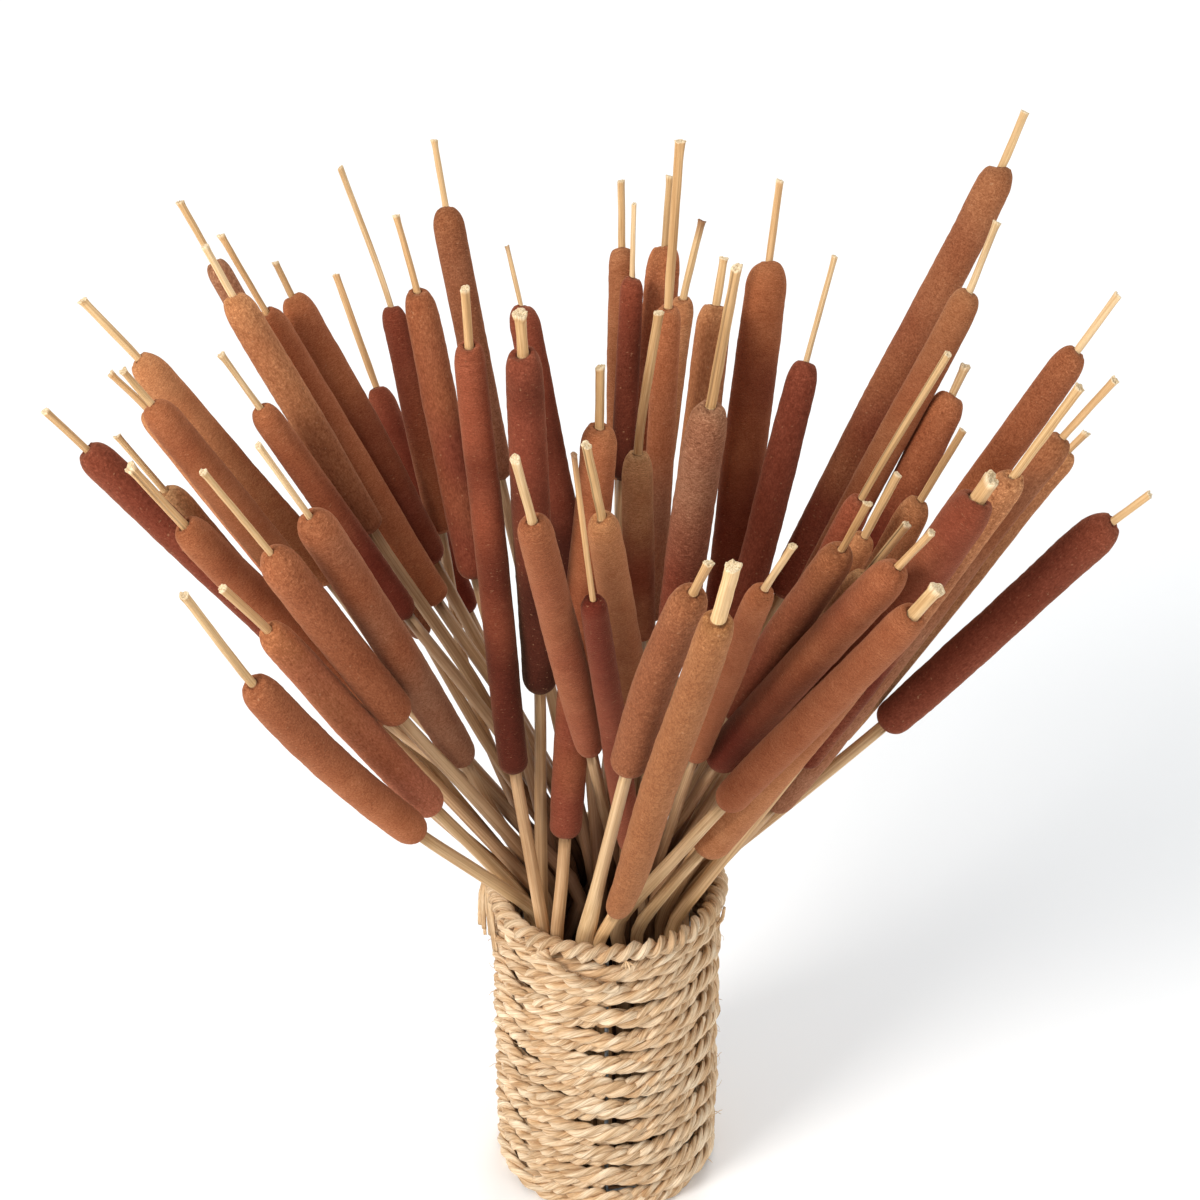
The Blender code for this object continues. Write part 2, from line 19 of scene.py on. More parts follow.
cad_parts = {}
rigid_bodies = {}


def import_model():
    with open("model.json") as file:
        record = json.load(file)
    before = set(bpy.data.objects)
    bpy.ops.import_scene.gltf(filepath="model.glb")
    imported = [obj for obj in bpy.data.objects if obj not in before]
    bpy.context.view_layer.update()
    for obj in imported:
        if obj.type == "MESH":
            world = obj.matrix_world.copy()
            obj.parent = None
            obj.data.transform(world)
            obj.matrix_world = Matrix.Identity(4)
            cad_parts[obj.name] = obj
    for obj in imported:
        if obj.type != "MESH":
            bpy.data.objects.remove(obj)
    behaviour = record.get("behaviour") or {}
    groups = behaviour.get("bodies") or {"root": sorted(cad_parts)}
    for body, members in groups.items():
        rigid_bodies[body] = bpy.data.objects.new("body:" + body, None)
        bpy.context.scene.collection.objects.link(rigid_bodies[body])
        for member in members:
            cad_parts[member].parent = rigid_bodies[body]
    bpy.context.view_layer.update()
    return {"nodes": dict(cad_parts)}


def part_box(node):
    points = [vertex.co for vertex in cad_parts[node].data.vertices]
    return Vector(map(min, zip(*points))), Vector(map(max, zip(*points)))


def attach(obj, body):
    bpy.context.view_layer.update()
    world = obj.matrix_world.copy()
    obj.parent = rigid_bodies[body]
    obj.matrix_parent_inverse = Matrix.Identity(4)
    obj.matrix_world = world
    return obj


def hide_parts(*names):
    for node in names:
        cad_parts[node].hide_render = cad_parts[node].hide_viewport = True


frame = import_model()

MM = 0.001

# %% [markdown]
# ## The camera
#
# The photograph looks down on the bouquet with a long lens. The rim of the vase is a
# circle and in the picture an ellipse, whose flatness gives the angle at which the eye
# looks down and whose width gives the distance. The camera could be placed by trial,
# but worked out from the rim it stays in step with the picture and the solids.

# %% Place the camera
PICTURE_SIZE = 1200.0
LENS_PIXELS = 3024.0
SENSOR_WIDTH = 36.0
RIM_PIXEL = (606.5, 884.0)
RIM_DISTANCE = 1.26
RIM_LOOK_DOWN = radians(37.3)

rim_low, rim_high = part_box("rim_rope")
rim_centre = (rim_low + rim_high) / 2
across = (RIM_PIXEL[0] - PICTURE_SIZE / 2) / LENS_PIXELS
drop = (RIM_PIXEL[1] - PICTURE_SIZE / 2) / LENS_PIXELS
look_down = RIM_LOOK_DOWN - atan(drop)
right = Vector((1, 0, 0))
up = Vector((0, sin(look_down), cos(look_down)))
forward = Vector((0, cos(look_down), -sin(look_down)))
to_rim = (forward + right * across - up * drop).normalized()

bpy.ops.object.camera_add()
camera = bpy.context.object
camera.name = "camera"
camera.location = Vector((0, 0, rim_centre.z)) - to_rim * RIM_DISTANCE
camera.rotation_euler = Euler((pi / 2 - look_down, 0, 0))
camera.data.sensor_width = SENSOR_WIDTH
camera.data.lens = LENS_PIXELS / PICTURE_SIZE * SENSOR_WIDTH
bpy.context.scene.camera = camera
print("camera at", [round(value, 3) for value in camera.location])

# %% [markdown]
# ## Floor and light
#
# The bouquet was photographed in a white studio. One large soft light from the front
# left models the round heads from light to dark, a weaker one from the right opens the
# shadows, and a pale sky does the rest. A plain pale floor carries the vase. The
# standard view keeps white white.

# %% Lay the floor and hang the lights
FLOOR_SIZE = 14.0
LOOK_AT = Vector((0, 0, 0.26))

bpy.ops.mesh.primitive_plane_add(size=FLOOR_SIZE)
floor = bpy.context.object
floor.name = "studio_floor"
floor_paint = bpy.data.materials.new("studio_floor")
floor_paint.use_nodes = True
floor_shader = floor_paint.node_tree.nodes["Principled BSDF"]
floor_shader.inputs["Base Color"].default_value = (0.94, 0.94, 0.94, 1)
floor_shader.inputs["Roughness"].default_value = 0.9
floor_shader.inputs["Specular IOR Level"].default_value = 0.1
floor.data.materials.append(floor_paint)


def hang_light(name, place, size, watts, colour):
    bpy.ops.object.light_add(type="AREA", location=place)
    light = bpy.context.object
    light.name = name
    light.data.shape = "DISK"
    light.data.size = size
    light.data.energy = watts
    light.data.color = colour
    light.rotation_euler = (LOOK_AT - Vector(place)).to_track_quat("-Z", "Y").to_euler()


hang_light("key_light", (-1.35, -1.15, 1.35), 0.9, 36.0, (1.0, 0.97, 0.93))
hang_light("fill_light", (1.6, -0.9, 1.0), 1.2, 8.0, (0.96, 0.98, 1.0))
hang_light("back_light", (0.5, 2.4, 1.9), 1.6, 30.0, (1.0, 1.0, 1.0))

sky = bpy.data.worlds.new("studio_sky")
bpy.context.scene.world = sky
sky.use_nodes = True
sky.node_tree.nodes["Background"].inputs["Color"].default_value = (0.95, 0.98, 1, 1)
sky.node_tree.nodes["Background"].inputs["Strength"].default_value = 0.62
bpy.context.scene.view_settings.view_transform = "Standard"

# %% [markdown]
# ## Tools of the bench
#
# Every piece below starts as a primitive and is shaped with operators. An operator
# works on all that is selected, so these helpers first select one thing only.


# %% Select, edit and apply
def pick(*things):
    """Select only these, and make the first of them active."""
    for thing in bpy.context.view_layer.objects:
        thing.select_set(False)
    for thing in things:
        thing.select_set(True)
    bpy.context.view_layer.objects.active = things[0]


def edit(thing, action="SELECT"):
    """Put a piece on the bench with all of it selected, or nothing."""
    pick(thing)
    bpy.ops.object.mode_set(mode="EDIT")
    bpy.ops.mesh.select_all(action=action)


def face_outward():
    """Turn every face of the piece on the bench outward, and put it down."""
    bpy.ops.mesh.select_all(action="SELECT")
    bpy.ops.mesh.normals_make_consistent(inside=False)
    bpy.ops.object.mode_set(mode="OBJECT")


def apply_modifiers(thing):
    pick(thing)
    for modifier in list(thing.modifiers):
        bpy.ops.object.modifier_apply(modifier=modifier.name)


def points_of(thing):
    co = np.empty(len(thing.data.vertices) * 3, np.float32)
    thing.data.vertices.foreach_get("co", co)
    return co.reshape(-1, 3).astype(float)


def move_points(thing, points):
    thing.data.vertices.foreach_set("co", points.astype(np.float32).ravel())
    thing.data.update()


def keep(thing, name, values):
    """Store the grain, the coat or the nap of every point, for a material to read."""
    kind, field = {"grain": ("FLOAT_VECTOR", "vector"), "coat": ("FLOAT_COLOR", "color"),
                   "nap": ("FLOAT", "value")}[name]
    if name == "coat":
        values = np.column_stack([values, np.ones(len(values))])
    layer = thing.data.attributes.new(name, kind, "POINT")
    layer.data.foreach_set(field, values.astype(np.float32).ravel())


def copied(thing, name):
    twin = thing.copy()
    twin.data = thing.data.copy()
    twin.name = twin.data.name = name
    bpy.context.scene.collection.objects.link(twin)
    return twin


def joined(things, name):
    pick(*things)
    bpy.ops.object.join()
    things[0].name = things[0].data.name = name
    return things[0]


def triangles(thing):
    thing.data.calc_loop_triangles()
    return len(thing.data.loop_triangles)


print("bench ready")

# %% [markdown]
# ## Finishes
#
# Felt, straw and seagrass all have a grain that follows the piece. Object coordinates
# would run straight through a bent stem, so every piece keeps an attribute, "grain":
# where each of its points lay while the piece was still straight. Noise in those
# coordinates bends with the stem and has no seam. A second attribute, "coat", holds the
# colour, which differs from plant to plant and on the cattails also carries painted
# shade and a painted highlight, and a third, "nap", how rough the felt is. The patterns
# lighten and darken the coat: each multiplies it by a tint.


# %% Colours and node helpers
def paint(red, green, blue):
    """A colour as it is read on a screen, 0 to 255, made linear."""
    value = np.array([red, green, blue]) / 255.0
    return np.where(value <= 0.04045, value / 12.92, ((value + 0.055) / 1.055) ** 2.4)


class Nodes:
    """A short way to add and join the nodes of one material."""

    def __init__(self, name):
        self.material = bpy.data.materials.new(name)
        self.material.use_nodes = True
        self.tree = self.material.node_tree
        self.shader = self.tree.nodes["Principled BSDF"]

    def plug(self, value, target):
        """Join a socket to the target, or set the target to a plain value."""
        if isinstance(value, bpy.types.NodeSocket):
            self.tree.links.new(value, target)
        else:
            target.default_value = value

    def add(self, kind, values, **settings):
        """Add a node, give it its inputs and return its outputs."""
        node = self.tree.nodes.new(kind)
        for key, value in settings.items():
            setattr(node, key, value)
        for key, value in values.items():
            self.plug(value, node.inputs[key])
        return node.outputs

    def attribute(self, name, output="Vector"):
        return self.add("ShaderNodeAttribute", {}, attribute_name=name)[output]

    def stretched(self, vector, scale):
        return self.add("ShaderNodeMapping", {"Vector": vector, "Scale": scale})["Vector"]

    def noise(self, vector, scale, detail=2.0, roughness=0.5, distortion=0.0):
        return self.add("ShaderNodeTexNoise", {
            "Vector": vector, "Scale": scale, "Detail": detail, "Roughness": roughness,
            "Distortion": distortion})["Fac"]

    def spread(self, value, low, high, most=1.0):
        """Stretch a range of values to 0 up to the most, and clamp it."""
        return self.add("ShaderNodeMapRange", {
            "Value": value, "From Min": low, "From Max": high, "To Max": most})["Result"]

    def mix(self, share, one, two, blend="MIX"):
        return self.add("ShaderNodeMix", {0: share, 6: one, 7: two},
                        data_type="RGBA", blend_type=blend)[2]

    def tint(self, colour, pattern, low, high, dark, light):
        """Multiply a colour by a tint that goes from dark to light with a pattern."""
        tint = self.mix(self.spread(pattern, low, high), (*dark, 1), (*light, 1))
        return self.mix(1.0, colour, tint, "MULTIPLY")

    def math(self, one, two, operation):
        return self.add("ShaderNodeMath", {0: one, 1: two}, operation=operation)[0]

    def heights(self, height, *others):
        """Add further heights to the first, each with its weight."""
        for other, weight in others:
            height = self.math(height, self.math(other, weight, "MULTIPLY"), "ADD")
        return height

    def bump(self, height, distance, strength):
        bumped = self.add("ShaderNodeBump", {
            "Height": height, "Distance": distance, "Strength": strength})
        self.plug(bumped["Normal"], self.shader.inputs["Normal"])

    def coated(self, colour, **values):
        """Give the shader its colour and its even values, and return the material."""
        self.plug(colour, self.shader.inputs["Base Color"])
        for key, value in values.items():
            self.shader.inputs[key.replace("_", " ")].default_value = value
        return self.material


print("tan felt, linear:", paint(168, 104, 70).round(3))

# %% [markdown]
# ### Felt of the seed heads
#
# A cattail's head is thousands of tiny dry hairs packed tight. From a hand's breadth it
# is velvet: no gloss, a pale glow along the edges, fine speckle, faint rings across, and
# here and there a light fleck of lint. Sheen gives the glow. Noises of different stretch
# give the speckle, the rings, the cloudy patches, the short dashes of the nap, which are
# lighter or darker than the felt between them, and the lint.


# %% Make the felt
LINT = (0.52, 0.28, 0.15, 1)
LINT_COVER = 0.42


def make_felt():
    felt = Nodes("cattail_felt")
    grain, nap = felt.attribute("grain"), felt.attribute("nap", "Fac")
    clouds = felt.noise(grain, 60.0, 4.0, 0.6)
    speckle = felt.noise(grain, 1700.0, 3.0, 0.65)
    rings = felt.noise(felt.stretched(grain, (1.0, 1.0, 2.0)), 520.0, 3.0, 0.6, 0.6)
    dashes = felt.noise(felt.stretched(grain, (0.55, 0.55, 2.2)), 1050.0, 2.0, 0.55, 1.0)
    lint = felt.noise(felt.stretched(grain, (0.7, 0.7, 1.8)), 900.0, 1.0, 0.3)
    colour = felt.attribute("coat", "Color")
    colour = felt.tint(colour, speckle, 0.34, 0.66,
                       (0.76, 0.70, 0.67), (1.19, 1.24, 1.26))
    colour = felt.tint(colour, rings, 0.32, 0.68,
                       (0.87, 0.83, 0.80), (1.11, 1.15, 1.16))
    colour = felt.tint(colour, clouds, 0.3, 0.7,
                       (0.90, 0.84, 0.80), (1.08, 1.14, 1.17))
    lighter = felt.mix(1.0, colour, (1.55, 1.75, 1.85, 1), "MULTIPLY")
    darker = felt.mix(1.0, colour, (0.60, 0.52, 0.48, 1), "MULTIPLY")
    for low, high, dash in ((0.54, 0.70, lighter), (0.46, 0.30, darker)):
        share = felt.math(felt.spread(dashes, low, high), nap, "MULTIPLY")
        colour = felt.mix(share, colour, dash)
    colour = felt.mix(felt.spread(lint, 0.71, 0.81, LINT_COVER), colour, LINT)
    felt.bump(felt.heights(speckle, (rings, 0.8), (dashes, nap)), 0.22 * MM, 0.8)
    return felt.coated(colour, Roughness=1.0, Specular_IOR_Level=0.10, Sheen_Weight=0.24,
                       Sheen_Roughness=0.42, Sheen_Tint=(1.0, 0.60, 0.36, 1))


felt_finish = make_felt()
print("made", felt_finish.name)

# %% [markdown]
# ### Straw of the stems and spikes
#
# The bare stem is dry straw: smooth, faintly glossy, streaked along its length by its
# fibres. Noise squeezed across the stem and drawn out along it makes the streaks. The
# cut ends show the pith, which is paler and crumbles.


# %% Make the straw and the pith
def make_straw(name, low, high, roughness, depth):
    straw = Nodes(name)
    grain = straw.attribute("grain")
    streaks = straw.noise(straw.stretched(grain, (1.0, 1.0, 0.012)), 1900.0, 2.0, 0.5)
    stains = straw.noise(straw.stretched(grain, (1.0, 1.0, 0.12)), 150.0, 3.0, 0.6)
    colour = straw.attribute("coat", "Color")
    colour = straw.tint(colour, streaks, 0.32, 0.68, low, high)
    colour = straw.tint(colour, stains, 0.42, 0.74,
                        (1.06, 1.05, 1.04), (0.80, 0.71, 0.60))
    straw.bump(streaks, depth, 0.7)
    return straw.coated(colour, Roughness=roughness, Specular_IOR_Level=0.35)


straw_finish = make_straw("cattail_straw", (0.74, 0.64, 0.52), (1.08, 1.08, 1.07),
                          0.52, 0.18 * MM)
pith_finish = make_straw("cut_pith", (0.60, 0.50, 0.38), (1.04, 1.03, 1.01),
                         0.85, 0.40 * MM)
print("made", straw_finish.name, "and", pith_finish.name)

# %% [markdown]
# ## One straight cattail
#
# All cattails have the same parts, so one is modelled straight and upright, and the
# others are copies that are stretched and bent. It could be turned from an outline with
# Spin; here a circle is extruded upward ring by ring, because the rings are then easy to
# move later: the stem's, those of the rounded butt, of the long felt head, of the domed
# neck that dips in round the spike, and of the spike up to its cut end.

# %% The rings of the straight cattail
SIDES = 28
STEM_RINGS, BARREL_RINGS, SPIKE_RINGS = 27, 76, 20
BUTT_SHARES = (0.02, 0.05, 0.10, 0.17, 0.26, 0.38, 0.52, 0.68, 0.84, 1.0)
DOME_SHARES = (0.86, 0.72, 0.58, 0.46, 0.35, 0.26, 0.18, 0.11, 0.06, 0.02)
STEM_TAPER = ((0.0, 1.0), (0.45, 0.98), (0.7, 0.86), (1.0, 0.77))
LIP, MOUTH_OF_LIP = 1.7, 1.22


def rounded(share, bulge=2.3):
    """Radius of a rounded end, at a share of its length."""
    return (1 - (1 - share) ** bulge) ** (1 / bulge)


def outline(stem, head, spike, stem_length, head_length, spike_length,
            dome=1.4, dip=-0.2, butt=0.95):
    """Radius and height of every ring of a cattail that stands straight up."""
    neck = stem_length + head_length
    tip = neck + spike_length
    butt_end = stem_length + head * butt
    dome_end = neck - head * dome
    lip = LIP * spike
    shares, girths = zip(*STEM_TAPER)
    rows = [(stem * np.interp(share, shares, girths), stem_length * share)
            for share in np.linspace(0, 1, STEM_RINGS)[:-1]]
    shank = stem * girths[-1]
    rows += [(shank, stem_length + 0.1 * shank)]
    rows += [(max(head * rounded(share), shank * 1.03), stem_length + head * butt * share)
             for share in BUTT_SHARES]
    rows += [(head, butt_end + (dome_end - butt_end) * share)
             for share in np.linspace(0, 1, BARREL_RINGS)[1:]]
    rows += [(lip + (head - lip) * rounded(share, 2.1), neck - head * dome * share)
             for share in DOME_SHARES]
    rows += [(spike * (LIP + MOUTH_OF_LIP) / 2, neck + 0.12 * dip * spike),
             (spike * MOUTH_OF_LIP, neck + 0.45 * dip * spike),
             (spike * 1.04, neck + dip * spike), (spike, neck + (dip + 0.12) * spike)]
    rows += [(spike, neck + (dip + 0.3) * spike + (spike_length - 0.9 * spike) * share)
             for share in np.linspace(0.0, 1, SPIKE_RINGS)]
    rows += [(spike, tip), (spike * 0.80, tip + 0.1 * spike), (spike * 0.42, tip)]
    return np.array(rows)


STRAIGHT = outline(2.8 * MM, 6.6 * MM, 1.8 * MM, 250 * MM, 150 * MM, 42 * MM)
RINGS = len(STRAIGHT)
BUTT_RING = STEM_RINGS - 1
DOME_RING = BUTT_RING + len(BUTT_SHARES) + BARREL_RINGS
LIP_RING = DOME_RING + len(DOME_SHARES)
SPIKE_RING = LIP_RING + 3
CROWN_RING = RINGS - 3
print("rings:", RINGS, "butt", BUTT_RING, "dome", DOME_RING, "spike", SPIKE_RING)


# %% Extrude it, ring by ring
def extrude_rings(name, rows, sides):
    radius, height = rows[0]
    bpy.ops.mesh.primitive_circle_add(
        vertices=sides, radius=radius, location=(0, 0, 0), fill_type="NGON")
    stalk = bpy.context.object
    stalk.name = name
    edit(stalk)
    for new_radius, new_height in rows[1:]:
        share = new_radius / radius
        bpy.ops.mesh.extrude_region_move(
            TRANSFORM_OT_translate={"value": (0, 0, new_height - height)})
        bpy.ops.transform.resize(
            value=(share, share, 1), center_override=(0, 0, new_height))
        radius, height = new_radius, new_height
    face_outward()
    stalk.data.shade_smooth()
    return stalk


straight_cattail = extrude_rings("straight_cattail", STRAIGHT, SIDES)
print("straight cattail:", len(straight_cattail.data.vertices), "points,",
      triangles(straight_cattail), "triangles")

# %% [markdown]
# ## Where every cattail grows
#
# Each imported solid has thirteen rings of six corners. Walking over the mesh from the
# lowest six corners, ring after ring, gives the middle and the thickness of each: the
# cattail's centre line, the girth of its stem, head and spike. A Bezier curve through
# those middles, with short handles so that it stays close to them, is what the straight
# cattail is bent along. It leaves the vase straight: what bend a stem has is kept down
# inside the mouth.

# %% Read the rings of the solids
CORNERS = 6
PATH_RINGS = (0, 1, 2, 3, 4, 5, 8, 11, 12)
BUTT_POINT, NECK_POINT = 5, 7
MOUTH_POINT = 3
STEM_AT, HEAD_AT, SPIKE_AT = 4, 8, 11
HANDLE, HANDLE_IN_MOUTH = 0.30, 0.62
STEPS = 48


def solid_rings(node):
    """Middle and radius of each ring of a packed cattail, from the foot up."""
    thing = frame["nodes"][node]
    corners, same = np.unique(points_of(thing).round(6), axis=0, return_inverse=True)
    same = same.ravel()
    beside = [set() for _ in corners]
    for edge in thing.data.edges:
        one, two = same[edge.vertices[0]], same[edge.vertices[1]]
        beside[one].add(two)
        beside[two].add(one)
    ring = set(np.argsort(corners[:, 2])[:CORNERS].tolist())
    seen = set(ring)
    middles, radii = [], []
    while ring:
        around = corners[sorted(ring)]
        middle = around.mean(axis=0)
        middles.append(middle)
        radii.append(np.linalg.norm(around - middle, axis=1).mean())
        ring = {near for corner in ring for near in beside[corner]} - seen
        seen |= ring
    return middles, radii


def smooth_path(knots):
    """Bezier points, each with its two handles, through the knots."""
    path = []
    for before, knot, after in zip(knots[:1] + knots, knots, knots[1:] + knots[-1:]):
        ways = [way for way in (knot - before, after - knot) if way.length > 0]
        along = sum((way / way.length ** 2 for way in ways), Vector()).normalized()
        path.append((knot, knot - along * HANDLE * (knot - before).length,
                     knot + along * HANDLE * (after - knot).length))
    return path


def bend_path(middles):
    """The path of a cattail, which leaves the mouth of the vase straight."""
    knots = [Vector(middles[ring]) for ring in PATH_RINGS]
    path = smooth_path(knots)
    below, mouth, above = knots[MOUTH_POINT - 1:MOUTH_POINT + 2]
    along = (above - mouth).normalized()
    path[MOUTH_POINT] = (mouth, mouth - along * HANDLE_IN_MOUTH * (mouth - below).length,
                         mouth + along * HANDLE * (above - mouth).length)
    return path


def path_length(path, first, last):
    total = 0.0
    for one, two in zip(path[first:last], path[first + 1:last + 1]):
        way = interpolate_bezier(one[0], one[2], two[1], two[0], STEPS)
        total += sum((b - a).length for a, b in zip(way, way[1:]))
    return total


CATTAILS = sorted(node for node in frame["nodes"] if node.startswith("cattail_"))
solids = {node: solid_rings(node) for node in CATTAILS}
print(len(CATTAILS), "cattails with", {len(radii) for _, radii in solids.values()}, "rings")

# %% [markdown]
# ## The colours of the plants
#
# Each head has a colour of its own, from orange tan to dark red, and most are cloudy:
# two colours run into each other in soft patches. The first colour of a pair is the
# lower part of the head, the second the upper part. The pairs carry light as well: a
# lower colour darker than the upper is partly painted shade where the heads sink among
# the others, and heads that lie in shade have lighter colours, which is painted light.

# %% Colours of the heads
FELT = {
    "sand": (192, 137, 96), "tan": (177, 116, 78), "copper": (166, 99, 65),
    "clay": (176, 104, 77), "fawn": (160, 101, 68), "brown": (152, 88, 58),
    "taupe": (147, 98, 73), "chestnut": (138, 82, 54), "russet": (143, 74, 51),
    "umber": (127, 63, 45), "mahogany": (115, 51, 37), "oxblood": (103, 42, 30),
    "dark": (84, 34, 23), "deep": (64, 27, 18), "gold": (150, 95, 60)}
# Each pair holds painted shade low on the head, and heads that lie in shade have lighter
# pairs, a painted light.
HEAD_COLOURS_AND_SHADE = (
    "tan tan, copper tan, tan brown, clay sand, copper brown, "
    "mahogany umber, clay copper, copper brown, brown brown, taupe brown, "
    "mahogany brown, chestnut tan, taupe taupe, copper brown, umber copper, "
    "oxblood umber, brown umber, umber brown, taupe chestnut, dark russet, "
    "deep umber, deep umber, russet brown, umber oxblood, brown tan, "
    "umber copper, chestnut chestnut, gold gold, brown brown, "
    "fawn fawn, deep umber, clay copper, taupe copper, sand tan, "
    "tan tan, umber taupe, mahogany copper, umber umber, russet sand, "
    "umber fawn, brown fawn, umber russet, oxblood brown, sand tan, "
    "umber chestnut, tan tan, sand sand, oxblood brown, brown brown, "
    "tan umber, oxblood tan, taupe chestnut, sand tan, copper brown, umber umber").split(", ")
print(len(HEAD_COLOURS_AND_SHADE), "pairs of colours")

# %% [markdown]
# ## The shape of each plant
#
# A copy of the straight cattail is first stretched to the plant's own lengths and
# girths. Then it loses its regularity: the stem is a little oval and grooved, the head
# swells and dents, the neck is puckered round the spike, and the spike is flattened,
# furrowed and crushed at the cut. It could be sculpted after the bending, but while it
# is straight, an angle and a height are enough to say where a dent goes. The tables name
# the plants, by number, that show more of one thing than the rest.


# %% Shape one cattail while it is straight
GROOVES = {25: 0.30, 26: 0.16, 36: 0.24, 42: 0.34, 47: 0.55, 48: 0.20, 5: 0.25}
FLARES = {28: 0.06, 49: 0.18, 50: 0.04}
TOPS = {19: 0.10, 37: -0.06, 55: 0.07}
SLIM_BUTTS = {28: 0.24, 23: 0.20, 10: 0.16}
SHEATHS = {27: 0.35, 28: 0.12}
ROUGH_NAP = {36: 0.75, 51: 0.70, 13: 0.5, 20: 0.4}


def from_front(angle):
    """How far round from the front an angle is, from -pi to pi."""
    return (angle + pi / 2 + pi) % (2 * pi) - pi


def ramp(value, start, width):
    """From 0 at the start to 1 a width further on, and level outside."""
    return np.clip((value - start) / width, 0, 1)


def lumps(rng, angle, height, girth, size, waves=14):
    """Soft bumps of about one size all over a stalk, mostly from -1 to 1."""
    turns = max(1, round(2 * pi * girth / size))
    total = np.zeros(len(angle))
    for _ in range(waves):
        around = rng.integers(0, turns + 1)
        along = 2 * pi * rng.uniform(0.3, 1.5) / size
        total += (np.cos(around * angle + rng.uniform(0, 2 * pi))
                  * np.cos(along * height + rng.uniform(0, 2 * pi)))
    return total * 2 / np.sqrt(waves)


ANGLE = np.tile(np.arange(SIDES) * 2 * pi / SIDES + pi / 2, RINGS)
RING = np.repeat(np.arange(RINGS), SIDES)
IN_STEM = RING <= BUTT_RING
IN_HEAD = (RING > BUTT_RING) & (RING < SPIKE_RING)
IN_SPIKE = RING >= SPIKE_RING
IN_CROWN = RING >= CROWN_RING
ON_SPIKE = ramp(RING, SPIKE_RING, CROWN_RING - SPIKE_RING)
GROOVE_WIDTH = 0.30
MOUTH_SHARE, SHEATH_LENGTH = 0.52, 30 * MM
CRUSH_START, CRUSH_SHARE = 0.88, 0.12
GROOVE = np.exp(-(from_front(ANGLE) / GROOVE_WIDTH) ** 2) * IN_SPIKE


def shape_stem(radius, height, turned, number, rng):
    oval = rng.uniform(0.02, 0.06) * np.cos(2 * turned)
    fibres = 0.022 * np.cos(rng.integers(5, 8) * turned + height * 8)
    sway = 0.012 * lumps(rng, turned, height, 0, 0.12, 6)
    mouth = height[IN_STEM].max() * MOUTH_SHARE
    sheath = SHEATHS.get(number, 0.0) * np.exp(-((height - mouth) / SHEATH_LENGTH) ** 2)
    radius[IN_STEM] *= (1 + oval + fibres + sway + sheath)[IN_STEM]


def shape_head(rows, girths, radius, height, turned, number, rng):
    stem, head, spike = girths
    low, high = rows[BUTT_RING, 1], rows[LIP_RING, 1]
    share = ramp(height, low, high - low)
    top = TOPS.get(number, -rng.uniform(0.00, 0.07))
    slim = SLIM_BUTTS.get(number, rng.uniform(0.00, 0.09))
    taper = 0.03 * np.sin(pi * share) + top * share ** 3 - slim * np.exp(-share / 0.16)
    swell = 0.011 * lumps(rng, turned, height, 0, 0.10, 5)
    dents = 0.006 * lumps(rng, turned, height, head, 0.024)
    nap = 0.0045 * lumps(rng, turned, height, head, 0.006, 24)
    oval = rng.uniform(0.01, 0.03) * np.cos(2 * turned + rng.uniform(0, 2 * pi))
    inward = ramp(rows[RING, 0], stem, head - stem)
    radius[IN_HEAD] *= (1 + (taper + swell + dents + nap + oval) * inward)[IN_HEAD]

    near_neck = ramp(RING, DOME_RING + 3, 7) * (RING <= LIP_RING + 1)
    folds = rng.integers(6, 9)
    pucker = np.cos(folds * turned + 1.5 * np.sin(turned)) + 0.5 * np.cos((folds + 4) * turned)
    height += near_neck * pucker * 0.026 * head
    radius *= 1 + near_neck * 0.04 * np.cos((folds - 2) * turned)
    lean = rng.uniform(0.02, 0.12) * head
    height += ramp(RING, DOME_RING, 9) * IN_HEAD * lean * np.cos(turned)
    collar = ((RING >= LIP_RING - 1) & (RING < SPIKE_RING)) * rng.uniform(0.05, 0.35) * spike
    height += collar * np.cos(turned + rng.uniform(0, 2 * pi))


def shape_spike(girths, radius, height, turned, number, rng):
    spike = girths[2]
    flat = rng.uniform(0.04, 0.13)
    ridges = rng.integers(3, 6)
    twist = rng.uniform(-1.0, 1.0) * ON_SPIKE
    furrows = np.abs(np.cos((ridges * (turned + twist) + rng.uniform(0, pi)) / 2)) - 0.9
    profile = (flat * np.cos(2 * (turned + twist)) + 0.13 * furrows
               + 0.02 * lumps(rng, turned, height, 0, 0.02, 6))
    radius[IN_SPIKE] *= (1 + profile * np.clip(ON_SPIKE * 6, 0.3, 1))[IN_SPIKE]
    radius *= 1 - GROOVES.get(number, 0.0) * GROOVE * np.clip(ON_SPIKE * 8, 0, 1)
    flare = FLARES.get(number, rng.uniform(0.04, 0.30))
    crush = ramp(ON_SPIKE, CRUSH_START, CRUSH_SHARE) ** 1.5
    torn = rng.uniform(-1, 1, SIDES)
    radius *= 1 + crush * (flare * (1 + 0.3 * np.cos(turned * (ridges - 1) + 1.0))
                           + 0.07 * np.tile(torn, RINGS))
    jag = (torn + np.roll(torn, 1)) / 2 + 0.8 * np.cos(turned[:SIDES] + rng.uniform(0, 2 * pi))
    height += crush * np.tile(jag, RINGS) * spike * rng.uniform(0.15, 0.42)


def shape_straight(rows, girths, number, rng):
    """The points of one cattail, straight, with all its unevenness."""
    radius, height = rows[RING, 0].copy(), rows[RING, 1].copy()
    turned = ANGLE + rng.uniform(0, 2 * pi)
    shape_stem(radius, height, turned, number, rng)
    shape_head(rows, girths, radius, height, turned, number, rng)
    shape_spike(girths, radius, height, turned, number, rng)
    return np.stack([radius * np.cos(ANGLE), radius * np.sin(ANGLE), height], axis=1)


print("sides:", SIDES, "points each:", len(ANGLE))
